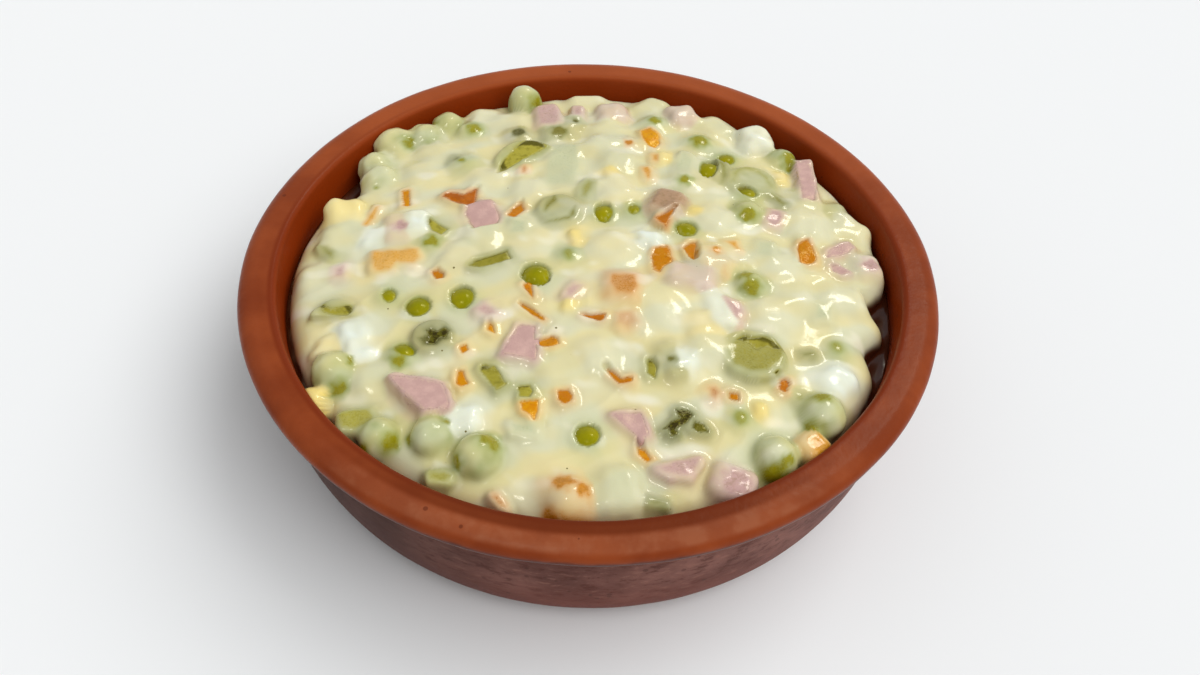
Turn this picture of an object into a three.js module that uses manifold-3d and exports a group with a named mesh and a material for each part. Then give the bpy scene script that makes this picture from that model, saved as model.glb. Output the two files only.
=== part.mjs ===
// Olivier salad heaped in its round terracotta bowl, in millimetres, +Z up.
// The origin is the centre of the bowl's underside, which stands on Z = 0.
// The bowl is one thrown piece. The salad is one piece too: a plain core of dressed salad that
// fills the bowl, with the peas, dice and slices that show at its surface fused on to it.

import * as THREE from 'three';
import { mergeVertices } from 'three/addons/utils/BufferGeometryUtils.js';
import Module from 'manifold-3d';

const wasm = await Module();
wasm.setup();

// Bowl
const RIM_RADIUS = 90;
const BOWL_HEIGHT = 45;
const RIM_MOUTH_RADIUS = 80.4;
const RIM_DEPTH = 6.8;
const RIM_TOP_WIDTH = 4;
const RIM_EDGE_DROP = 2.8;
const WALL_RADIUS = 85;
const WALL_THICKNESS = 5.5;
const BASE_RADIUS = 69.7;
const FLOOR_THICKNESS = 6;
const WALL_ROUNDNESS = 2.57;
const MOUTH_SETBACK = 0.8;
const LIP_RADIUS = 1.4;
const LIP_DROP = 1.6;
const RIM_FACE_START = -58;
const RIM_SHOULDER_START = 22;
const RIM_STEPS = 3;
const BOWL_SIDES = 64;
const WALL_STEPS = 6;

// Heap of salad
const CROWN_RISE = 2;
const SHOULDER_DROP = 7;
const SHOULDER_RADIUS = 78;
const DOME_POWER = 2.5;
const HEAP_EDGE = 77.5;
const EDGE_DEPTH = 8;
const GAP_TO_BOWL = 0.4;
const CORE_BELOW_DRESSING = 1.2;
const CORE_SIDES = 40;
const CORE_RINGS = 5;
const CORE_SETBACK = 3;
const RING_SPREAD = 0.8;
const RING_CLEARANCE = 1;

// The heap draws back from the wall at the left rear and a little at the right rear.
const HOLLOWS = [
  { bearing: 156, depth: 6.5, width: 11 },
  { bearing: 44, depth: 3.5, width: 9 },
  { bearing: 352, depth: 4.5, width: 5 },
];

// Places are those at the dressing's level that the pieces cover, seen from the near side at 43
// degrees down. A piece lies nearer than that by this run for each millimetre that it stands out.
const SIGHT_RUN = 1.05;
const WHOLE_BALL_STAND = 1.9;

// Peas: place across and along the table, diameter, and how far the top stands over the dressing.
const PEAS = [
  [-31.6, -15.8, 8.6, 1.2],
  [-42.4, -18.6, 8.4, 1.2],
  [-50.3, -15.2, 7.6, 0.8],
  [-44.4, -33.4, 8.8, 1.6],
  [-13.8, -7.4, 8.8, 1.4],
  [-5.9, -1, 7.6, 0.8],
  [2.9, 16.6, 8.4, 1.2],
  [10.8, 17.6, 8, 0.9],
  [24.8, 11.4, 8.2, 1.1],
  [32.2, 39.2, 8.6, 1.2],
  [37.8, 44.5, 8.2, 1.1],
  [0.4, -56.4, 8.6, 1.2],
  [-41.8, 3.4, 7.6, 0.8],
  [-58, 47.4, 10, 4],
  [-21.6, 70.7, 8.6, 6.4],
  [30, 52.2, 8.6, 1.9],
  [17.2, 61, 8, 1.6],
  [-36.5, 51, 9.4, 2],
  [42.6, 28.6, 8.2, 1.1],
  [61, -26.3, 8, 0.9],
  [35.7, -50, 7.4, 0.9],
  [54, 45, 8.6, 3],
  [24.7, 32, 8, 1.2],
  [41.7, 16.6, 9.6, 2.2],
  [40.6, -11.4, 9, 2.2],
  [-35, -58.2, 8.4, 4.4],
  [-24, -63.4, 9.8, 4.8],
  [-47, -58, 8.8, 4.2],
  [-60.4, -39.8, 10, 4.4],
  [55.4, -48, 10.4, 4.6],
  [43.4, -60.4, 9.6, 4.4],
  [-60, 30, 8.4, 2.4],
  [-35.5, 36.6, 8.6, 1.2],
  [-49.4, 50, 9, 3.4],
  [-43.6, 57, 9, 3.4],
  [-62.2, 37.6, 8.4, 3],
];

// Carrot dice: place, width, length, turn in degrees, and stand.
const CARROTS = [
  [-35.8, 20.4, 9.4, 7.4, -8, 1.3],
  [-50.4, 22, 5.4, 7, 20, 1],
  [-20, 15, 3.4, 7, -32, 0.9],
  [-19.4, 33, 4, 4.6, 15, 0.9],
  [-51.6, -3.6, 11, 7, 4, 1.2],
  [-38.8, -8.8, 4.4, 4, 20, 0.8],
  [16, 51.6, 6, 7, 8, 1.7],
  [17.4, 41.2, 4.4, 5, -12, 0.9],
  [14.8, 33, 4.4, 5.6, 10, 0.8],
  [19.4, 15.2, 5, 8, -30, 2.8],
  [18.3, 0.4, 7.4, 8.4, 8, 1.3],
  [25.8, 3.6, 5, 5.4, -28, 1],
  [36.9, 5.4, 6.4, 6, 12, 1],
  [56.6, 5, 5.6, 9, 4, 1.4],
  [34.2, -5, 4.6, 5, 0, 0.9],
  [31, 0.6, 9, 9, 20, 1.9],
  [0.8, -22.8, 7.6, 3.2, 6, 0.9],
  [8, -16.5, 11, 20, 4, 1],
  [-9.6, -31, 6.4, 5, 6, 1],
  [-15.6, -14.6, 3.4, 6.4, 14, 0.8],
  [-13.9, -21.6, 8.6, 2.6, -42, 0.9],
  [-29.6, -33.6, 3.4, 3.6, 10, 0.6],
  [-29.3, -42.4, 3.8, 6, 16, 0.9],
  [-23.8, -27.4, 3.2, 4.4, 20, 0.6],
  [-13.2, -50, 5.2, 5.6, -6, 1.3],
  [-5.2, -46.9, 5.4, 5.2, 20, 1.2],
  [7.5, -41.2, 7, 4, -34, 1.2],
  [29.7, -44.3, 4.4, 4.4, 12, 0.8],
  [34.6, -44.2, 3.4, 3.4, 40, 0.6],
  [47, -39, 3.2, 5, -24, 0.7],
  [13.2, -61.6, 5, 3.8, -20, 0.9],
  [-3.8, -68.4, 12.4, 10.6, -24, 3.4],
  [-17.6, -72, 7, 3.6, -28, 1.6],
  [52, -53.6, 7.4, 7, 40, 3.4],
  [8.7, 47, 4, 4, 30, 0.8],
];

// Ham dice: place, width, length, turn in degrees, and stand.
const HAM = [
  [-28.6, 14.4, 9.6, 9, -6, 1.4],
  [-64, -6.5, 7, 7, 10, 1.1],
  [-26, -21, 9, 8, 30, 1.1],
  [-4.5, -14.5, 7, 8, -16, 1],
  [-15.8, -31, 9.6, 12, 10, 1.6],
  [-39, -45.6, 14, 9.6, -22, 3.6],
  [35.8, -18.5, 8.4, 11, 4, 1.3],
  [49.2, 17.4, 7, 7.6, 12, 1.2],
  [65.6, 8.6, 9, 8, -24, 1.6],
  [73, 4.4, 6.4, 7.4, 8, 1.6],
  [64, -1.6, 7, 6, 30, 1.2],
  [60, 38.6, 4.6, 18, 0, 3.4],
  [-14.2, 62.6, 7.6, 10.6, 4, 3],
  [10.6, -53.6, 9, 7.4, -32, 1.6],
  [21.6, -63.6, 9.4, 5, 20, 2.2],
  [33, -64.8, 10.4, 8.4, -16, 3],
  [-5.6, 64.6, 4.4, 6.4, 0, 2.4],
  [5, 66, 9, 9, 12, 2.6],
  [25.6, 67.6, 8.4, 8.4, 20, 3.4],
  [25.4, -6.4, 12, 8, -10, 2],
  [-51, 9.6, 6.4, 10.4, 6, 1.5],
  [19.6, 21.4, 9.4, 12, -24, 2.4],
];

// Gherkin sticks and dice: place, width, length, turn in degrees, and stand.
const GHERKIN_STICKS = [
  [-26, -3, 11, 3.6, 26, 1],
  [-22.3, -41.6, 4.6, 10, 24, 1.4],
  [19.6, -52.2, 4, 9, -42, 1.5],
  [25.6, -53, 5, 6, 30, 1.3],
  [15.3, -37.6, 3, 6.4, 12, 1],
  [19.9, -35.4, 3, 10, 20, 1.3],
  [-53.4, -51.8, 8.4, 6.4, 10, 2.2],
  [-32.6, -67.4, 8.4, 6, -8, 2],
  [-41, 9, 3, 8.4, 38, 1],
  [-2, 25, 3.4, 7.4, -4, 0.9],
  [-11.4, 52.4, 8, 5, 14, 1.6],
  [51.6, 26, 7, 4.6, -28, 1.1],
  [-69, 2, 9, 3.2, -26, 1.2],
  [-13.9, -45, 4.6, 4.6, 8, 1],
  [-58.8, 15, 2.6, 8.4, -16, 1.2],
  [66, 25.6, 6.4, 5.4, 12, 1.4],
  [-22.4, 51.8, 5, 5.4, 20, 1.2],
  [-6.4, 58.4, 3.4, 4.6, 20, 1.2],
  [16.6, -72.6, 5, 4, -10, 1.4],
];

// Gherkin slices: place, diameter, turn of the cut edge in degrees, share of the round that is
// left, and stand.
const GHERKIN_SLICES = [
  [40, -31.6, 14.8, -14, 1, 1.4],
  [-9, 16.4, 11, 60, 1, 0.9],
  [-37.6, -29, 9.4, 20, 1, 1.1],
  [-19.2, 38.9, 16.4, 40, 0.5, 1.3],
  [-63.6, -20.8, 10.4, 2, 0.5, 1.1],
  [44, 33.6, 12.6, 0, 1, 0.9],
];

// Egg: place, width, length, turn in degrees, and stand.
const EGG = [
  [-46.3, 12, 5, 9.4, 8, 1.9],
  [-57, 6.6, 6, 8, -6, 1.3],
  [-56.4, -28.8, 6.8, 14, 21, 1.5],
  [-29.4, -52.4, 11, 7, 4, 1.6],
  [46.8, 58.4, 10, 11, 14, 4.2],
  [59.4, -35.4, 9, 8, 34, 1.9],
  [23, -34.8, 5, 7, -20, 1.4],
  [32.2, -17, 5, 12, 14, 1.5],
  [15, 6.4, 6, 5, 0, 1.2],
  [-67, 19.4, 11, 11, 10, 3.4],
  [-64, -44.6, 6, 6, 0, 2.4],
  [-62.6, -31, 7, 8, -20, 1.5],
  [28, -22.6, 8, 8, 20, 1.1],
];

// Dressed potato fills what is left between the other pieces.
const POTATO_TRIES = 2600;
const POTATO_SIZES = [7, 11];
const POTATO_STANDS = [0.3, 2.2];
const POTATO_CROWDING = 0.98;
const POTATO_SEED = 4021;
const POTATO_SINK = 1.2;

// Thickness and tilt of the cut pieces
const SLICE_THICKNESS = 3.4;
const STICK_DEPTH = 4.6;
const DICE_DEPTH_SHARE = 0.9;
const DICE_TILT = 6;
const TILT_SEED = 977;
const PEA_SIDES = 8;
const PEA_RINGS = 6;
const SLICE_SIDES = 12;

// Every pea is turned and tilted by a few degrees for each millimetre of its place.
const PEA_TURN = 7;
const PEA_TILT = 5;

// How much a soft lump grows with no split and with one.
const LUMP_GROWTH = [1.16, 1.06];

const FULL_TURN = 360;
const WELD_DISTANCE = 0.0001;

// Repeatable draws between 0 and 1 from a whole-number seed.
function makeDraws(seed) {
  let state = seed;
  return () => {
    state = (state * 16807) % 2147483647;
    return state / 2147483647;
  };
}

// Points of a quarter of a superellipse, from its side at (outer, top) to its foot at (inner, low).
function superellipse(outer, top, inner, low, steps) {
  const points = [];
  for (let i = 0; i <= steps; i += 1) {
    const angle = (i / steps) * (Math.PI / 2);
    const across = Math.max(Math.cos(angle), 0) ** (2 / WALL_ROUNDNESS);
    const down = Math.sin(angle) ** (2 / WALL_ROUNDNESS);
    points.push(new THREE.Vector2(inner + (outer - inner) * across, top - (top - low) * down));
  }
  return points;
}

// Points of an elliptical arc about (r, z), between two angles in degrees.
function arc(r, z, across, up, from, to, steps) {
  const points = [];
  for (let i = 0; i <= steps; i += 1) {
    const angle = THREE.MathUtils.degToRad(from + ((to - from) * i) / steps);
    points.push(new THREE.Vector2(r + across * Math.cos(angle), z + up * Math.sin(angle)));
  }
  return points;
}

// A solid turned about Z from points of radius and height that start and end on the axis.
function turned(points, sides) {
  const geometry = new THREE.LatheGeometry(points, sides);
  geometry.rotateX(Math.PI / 2);
  return geometry;
}

// Inner wall of the bowl, from the mouth down to the floor, moved in by a gap.
function innerWall(gap) {
  const mouth = RIM_MOUTH_RADIUS - MOUTH_SETBACK - gap;
  const floor = BASE_RADIUS - WALL_THICKNESS - gap;
  const top = BOWL_HEIGHT - RIM_DEPTH;
  return superellipse(mouth, top, floor, FLOOR_THICKNESS + gap, WALL_STEPS);
}

// Bowl: flat underside, wall rounding in at the foot, a rim that stands proud, and a deep hollow.
function bowlProfile() {
  const rimFoot = BOWL_HEIGHT - RIM_DEPTH;
  const wall = superellipse(WALL_RADIUS, rimFoot, BASE_RADIUS, 0, WALL_STEPS).reverse();
  const edge = BOWL_HEIGHT - RIM_EDGE_DROP;
  const topOuter = RIM_MOUTH_RADIUS + RIM_TOP_WIDTH + LIP_RADIUS;
  const bead = RIM_RADIUS - topOuter;
  const faceDrop = RIM_DEPTH - RIM_EDGE_DROP;
  const outerFace = arc(topOuter, edge, bead, faceDrop, RIM_FACE_START, 0, RIM_STEPS);
  const shoulder = arc(topOuter, edge, bead, RIM_EDGE_DROP, RIM_SHOULDER_START, 90, RIM_STEPS);
  const lipMiddle = RIM_MOUTH_RADIUS + LIP_RADIUS;
  const lip = arc(lipMiddle, BOWL_HEIGHT - LIP_DROP, LIP_RADIUS, LIP_DROP, 90, 180, RIM_STEPS);
  return [
    new THREE.Vector2(0, 0),
    ...wall,
    ...outerFace,
    ...shoulder,
    ...lip,
    ...innerWall(0),
    new THREE.Vector2(0, FLOOR_THICKNESS),
  ];
}

// How far the heap reaches at a bearing in degrees: its edge less the hollows at the wall.
function heapEdge(bearing) {
  let reach = HEAP_EDGE;
  for (const hollow of HOLLOWS) {
    const turn = ((bearing - hollow.bearing + 540) % FULL_TURN) - 180;
    reach -= hollow.depth * Math.exp(-((turn / hollow.width) ** 2));
  }
  return reach;
}

// Height of the dressing at a distance from the axis: a dome that falls off towards the wall.
function dressingLevel(radius) {
  const share = Math.min(radius, SHOULDER_RADIUS) / SHOULDER_RADIUS;
  return BOWL_HEIGHT + CROWN_RISE - SHOULDER_DROP * share ** DOME_POWER;
}

// Core of the heap: it lies along the bowl's inside and ends in the dome, a little under the
// dressing. Its upper rings draw in with the heap's edge.
function heapCore() {
  const side = innerWall(GAP_TO_BOWL).reverse();
  const foot = BOWL_HEIGHT - EDGE_DEPTH;
  const below = side.filter((point) => point.y < foot - RING_CLEARANCE);
  const lowest = new THREE.Vector2(0, FLOOR_THICKNESS + GAP_TO_BOWL);
  const points = [lowest, ...below, new THREE.Vector2(HEAP_EDGE, foot)];
  for (let ring = CORE_RINGS; ring >= 1; ring -= 1) {
    const radius = (HEAP_EDGE - CORE_SETBACK) * (ring / CORE_RINGS) ** RING_SPREAD;
    points.push(new THREE.Vector2(radius, dressingLevel(radius) - CORE_BELOW_DRESSING));
  }
  points.push(new THREE.Vector2(0, dressingLevel(0) - CORE_BELOW_DRESSING));
  const geometry = turned(points, CORE_SIDES);
  const position = geometry.attributes.position;
  for (let i = 0; i < position.count; i += 1) {
    if (position.getZ(i) > foot - RING_CLEARANCE / 2) {
      const bearing = THREE.MathUtils.radToDeg(Math.atan2(position.getY(i), position.getX(i)));
      const draw = heapEdge(bearing) / HEAP_EDGE;
      position.setX(i, position.getX(i) * draw);
      position.setY(i, position.getY(i) * draw);
    }
  }
  return geometry;
}

// The room inside the bowl, open upwards, less the gap: what the salad is trimmed to.
function bowlRoom() {
  const side = innerWall(GAP_TO_BOWL).reverse();
  const mouth = RIM_MOUTH_RADIUS - MOUTH_SETBACK - GAP_TO_BOWL;
  const above = BOWL_HEIGHT * 2;
  return turned([
    new THREE.Vector2(0, FLOOR_THICKNESS + GAP_TO_BOWL),
    ...side,
    new THREE.Vector2(mouth, above),
    new THREE.Vector2(0, above),
  ], CORE_SIDES);
}

// A mesh geometry as a solid that can be joined and cut.
function toSolid(geometry) {
  const bare = geometry.index ? geometry.clone() : geometry;
  bare.deleteAttribute('normal');
  bare.deleteAttribute('uv');
  const merged = mergeVertices(bare, WELD_DISTANCE);
  return new wasm.Manifold(new wasm.Mesh({
    numProp: 3,
    vertProperties: new Float32Array(merged.attributes.position.array),
    triVerts: new Uint32Array(merged.index.array),
  }));
}

// A solid as a mesh geometry.
function toGeometry(solid) {
  const mesh = solid.getMesh();
  const geometry = new THREE.BufferGeometry();
  geometry.setAttribute('position', new THREE.BufferAttribute(mesh.vertProperties, 3));
  geometry.setIndex(new THREE.BufferAttribute(mesh.triVerts, 1));
  geometry.computeVertexNormals();
  return geometry;
}

// Puts a piece in the heap: turned and tilted in degrees, nearer than it is seen by a run, and its
// top at its stand over the dressing.
function place(geometry, x, seenY, run, height, stand, turn, tilts) {
  const [tiltX, tiltY] = tilts.map(THREE.MathUtils.degToRad);
  const y = seenY - SIGHT_RUN * run;
  const top = dressingLevel(Math.hypot(x, y)) + stand;
  geometry.rotateX(tiltX);
  geometry.rotateY(tiltY);
  geometry.rotateZ(THREE.MathUtils.degToRad(turn));
  geometry.translate(x, y, top - height / 2);
  return geometry;
}

// A pea. One that stands well out is seen whole, so its place is its middle's.
function pea([x, y, diameter, stand]) {
  const ball = new THREE.SphereGeometry(diameter / 2, PEA_SIDES, PEA_RINGS);
  const run = stand > WHOLE_BALL_STAND ? stand - diameter / 2 : stand;
  return place(ball, x, y, run, diameter, stand, x * PEA_TURN, [y * PEA_TILT, 0]);
}

function die([x, y, width, length, turn, stand], depth, tilts) {
  const box = new THREE.BoxGeometry(width, length, depth);
  return place(box, x, y, stand, depth, stand, turn, tilts);
}

// A round slice, or the share of one on one side of a straight cut.
function slice([x, y, diameter, turn, share, stand], tilts) {
  const outline = new THREE.Shape();
  outline.absarc(0, 0, diameter / 2, 0, Math.PI * 2 * share, false);
  const disc = new THREE.ExtrudeGeometry(outline, {
    depth: SLICE_THICKNESS,
    curveSegments: Math.round(SLICE_SIDES * share),
    bevelEnabled: false,
  });
  disc.translate(0, 0, -SLICE_THICKNESS / 2);
  return place(disc, x, y, stand, SLICE_THICKNESS, stand, turn, tilts);
}

// A soft lump, such as egg or dressed potato: a twenty-sided ball, split as often as asked, and
// stretched. The ball is grown a little, because its flat faces lie inside the round.
function lump([x, y, width, length, turn, stand], splits, tilts) {
  const depth = Math.min(width, length);
  const ball = new THREE.IcosahedronGeometry(LUMP_GROWTH[splits] / 2, splits);
  ball.scale(width, length, depth);
  return place(ball, x, y, stand, depth, stand, turn, tilts);
}

// Places for the dressed potato: a seeded draw over the disc keeps each one clear of the pieces
// already there, and inside the heap's edge.
function potatoes(taken) {
  const draw = makeDraws(POTATO_SEED);
  const between = ([low, high]) => low + (high - low) * draw();
  const found = [];
  for (let i = 0; i < POTATO_TRIES; i += 1) {
    const bearing = draw() * FULL_TURN;
    const radius = HEAP_EDGE * Math.sqrt(draw());
    const width = between(POTATO_SIZES);
    const length = between(POTATO_SIZES);
    const turn = draw() * FULL_TURN;
    const stand = between(POTATO_STANDS);
    const x = radius * Math.cos(THREE.MathUtils.degToRad(bearing));
    const y = radius * Math.sin(THREE.MathUtils.degToRad(bearing));
    const reach = (width + length) / 4;
    const clear = taken.every(([px, py, size]) => (
      Math.hypot(px - x, py - y) > POTATO_CROWDING * (reach + size / 2)));
    if (clear && radius + reach < heapEdge(bearing)) {
      const sunk = POTATO_SINK * (1 - (radius / HEAP_EDGE) ** 2);
      found.push([x, y, width, length, turn, stand - sunk]);
      taken.push([x, y, reach * 2]);
    }
  }
  return found;
}

// Every piece that shows, as geometries in their places.
function pieces() {
  const draw = makeDraws(TILT_SEED);
  const tilt = () => [DICE_TILT * (2 * draw() - 1), DICE_TILT * (2 * draw() - 1)];
  const meanSize = ([x, y, width, length]) => [x, y, (width + length) / 2];
  const dice = [...CARROTS, ...HAM];
  const rounds = [...PEAS, ...GHERKIN_SLICES];
  const cut = [...dice, ...GHERKIN_STICKS, ...EGG];
  const taken = [...rounds.map(([x, y, size]) => [x, y, size]), ...cut.map(meanSize)];
  const diceDepth = (row) => DICE_DEPTH_SHARE * Math.max(Math.min(row[2], row[3]), STICK_DEPTH);
  return [
    ...PEAS.map(pea),
    ...dice.map((row) => die(row, diceDepth(row), tilt())),
    ...GHERKIN_STICKS.map((row) => die(row, STICK_DEPTH, tilt())),
    ...GHERKIN_SLICES.map((row) => slice(row, tilt())),
    ...EGG.map((row) => lump(row, 1, tilt())),
    ...potatoes(taken).map((row) => lump(row, 0, tilt())),
  ];
}

function bowl() {
  const clay = new THREE.MeshStandardMaterial({ color: 0x8a4326, roughness: 0.35, metalness: 0 });
  const mesh = new THREE.Mesh(turned(bowlProfile(), BOWL_SIDES), clay);
  mesh.name = 'bowl';
  return mesh;
}

function salad() {
  const room = toSolid(bowlRoom());
  let heap = toSolid(heapCore());
  for (const geometry of pieces()) {
    heap = heap.add(toSolid(geometry).intersect(room));
  }
  const dressing = new THREE.MeshStandardMaterial({
    color: 0xe3e2be,
    roughness: 0.25,
    metalness: 0,
  });
  const mesh = new THREE.Mesh(toGeometry(heap), dressing);
  mesh.name = 'salad';
  return mesh;
}

const part = new THREE.Group();
part.add(bowl(), salad());

export default part;
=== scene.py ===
import math

import bpy
import numpy as np
from mathutils import Matrix


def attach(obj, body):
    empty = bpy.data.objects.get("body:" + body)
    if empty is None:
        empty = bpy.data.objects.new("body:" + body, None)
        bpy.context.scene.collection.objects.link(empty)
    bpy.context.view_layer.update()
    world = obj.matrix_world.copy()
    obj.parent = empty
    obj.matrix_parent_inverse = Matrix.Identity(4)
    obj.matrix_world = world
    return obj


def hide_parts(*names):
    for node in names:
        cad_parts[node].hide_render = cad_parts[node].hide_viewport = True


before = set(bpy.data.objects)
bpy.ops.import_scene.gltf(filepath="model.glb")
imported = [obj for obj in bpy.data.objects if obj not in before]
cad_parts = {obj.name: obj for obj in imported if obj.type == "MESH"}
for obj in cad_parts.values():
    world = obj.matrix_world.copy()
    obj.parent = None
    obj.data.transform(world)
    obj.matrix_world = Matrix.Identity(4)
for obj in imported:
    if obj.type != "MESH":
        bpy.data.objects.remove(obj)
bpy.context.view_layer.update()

# Olivier salad heaped in its glazed terracotta bowl. Lengths are in millimetres until a mesh is
# made, and +Z is up. The bowl stands on Z = 0 with its axis on Z.
MM = 0.001
# Farther than anything here, and a number that keeps a division from being one by nothing.
FAR = 99.0
TINY = 1e-9

# Bowl
RIM_RADIUS = 90.0
BOWL_HEIGHT = 45.0
RIM_MOUTH_RADIUS = 80.4
RIM_DEPTH = 6.8
RIM_TOP_WIDTH = 4.0
RIM_EDGE_DROP = 2.8
WALL_RADIUS = 85.0
WALL_THICKNESS = 5.5
BASE_RADIUS = 69.7
FLOOR_THICKNESS = 6.0
WALL_ROUNDNESS = 2.57
LIP_RADIUS = 1.4
LIP_DROP = 1.6
MOUTH_SETBACK = 0.8
BOWL_SIDES = 288

# Heap of salad
CROWN_RISE = 2.0
SHOULDER_DROP = 7.0
SHOULDER_RADIUS = 78.0
DOME_POWER = 2.5
HEAP_EDGE = 77.5

# Where the heap draws back from the wall: bearing in degrees, depth, and width in degrees.
HOLLOWS = [(156, 6.5, 11), (44, 3.5, 9), (353, 6.5, 4), (341, 4.5, 4)]

# Places are read from the photograph on the dressing's own level, and a piece that stands over it
# is seen that much further back for each millimetre of its stand.
SIGHT_RUN = 1.05

# Peas: place, diameter, stand over the dressing, and, where it is heavy, the cover of dressing.
PEAS = [
    (-31.6, -15.8, 8.6, 1.2),
    (-42.4, -18.6, 8.4, 1.2),
    (-50.3, -15.2, 7.6, 0.8),
    (-44.4, -33.4, 8.8, 1.6),
    (-13.8, -7.4, 8.8, 1.4),
    (-5.9, -1.0, 7.6, 0.8),
    (2.9, 16.6, 8.4, 1.2),
    (10.8, 17.6, 8, 0.9),
    (24.8, 11.4, 8.2, 1.1),
    (32.2, 39.2, 8.6, 1.2),
    (37.8, 44.5, 8.2, 1.1),
    (0.4, -56.4, 8.6, 1.2),
    (-41.8, 3.4, 7.6, 0.8),
    (-58, 47.4, 10, 4, 0.9),
    (-21.6, 70.7, 8.6, 6.4, 0.3),
    (30, 52.2, 8.6, 1.9),
    (17.2, 61, 8, 1.6),
    (-36.5, 51, 9.4, 2, 0.2),
    (42.6, 28.6, 8.2, 1.1),
    (61, -26.3, 8, 0.9),
    (35.7, -50, 7.4, 0.9),
    (54, 45, 8.6, 3, 0.3),
    (24.7, 32, 8, 1.2),
    (41.7, 16.6, 9.6, 2.2, 0.15),
    (40.6, -11.4, 9, 2.2, 0.15),
    (-35, -58.2, 8.4, 4.4, 0.4),
    (-24, -63.4, 9.8, 4.8, 0.25),
    (-47, -58, 8.8, 4.2, 0.2),
    (-60.4, -39.8, 10, 4.4, 0.35),
    (55.4, -48, 10.4, 4.6, 0.25),
    (43.4, -60.4, 9.6, 4.4, 0.3),
    (-60, 30, 8.4, 2.4, 0.7),
    (-35.5, 36.6, 8.6, 1.2),
    (-49.4, 50, 9, 3.4, 0.7),
    (-43.6, 57, 9, 3.4, 0.4),
    (-62.2, 37.6, 8.4, 3, 0.6),
]

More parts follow.
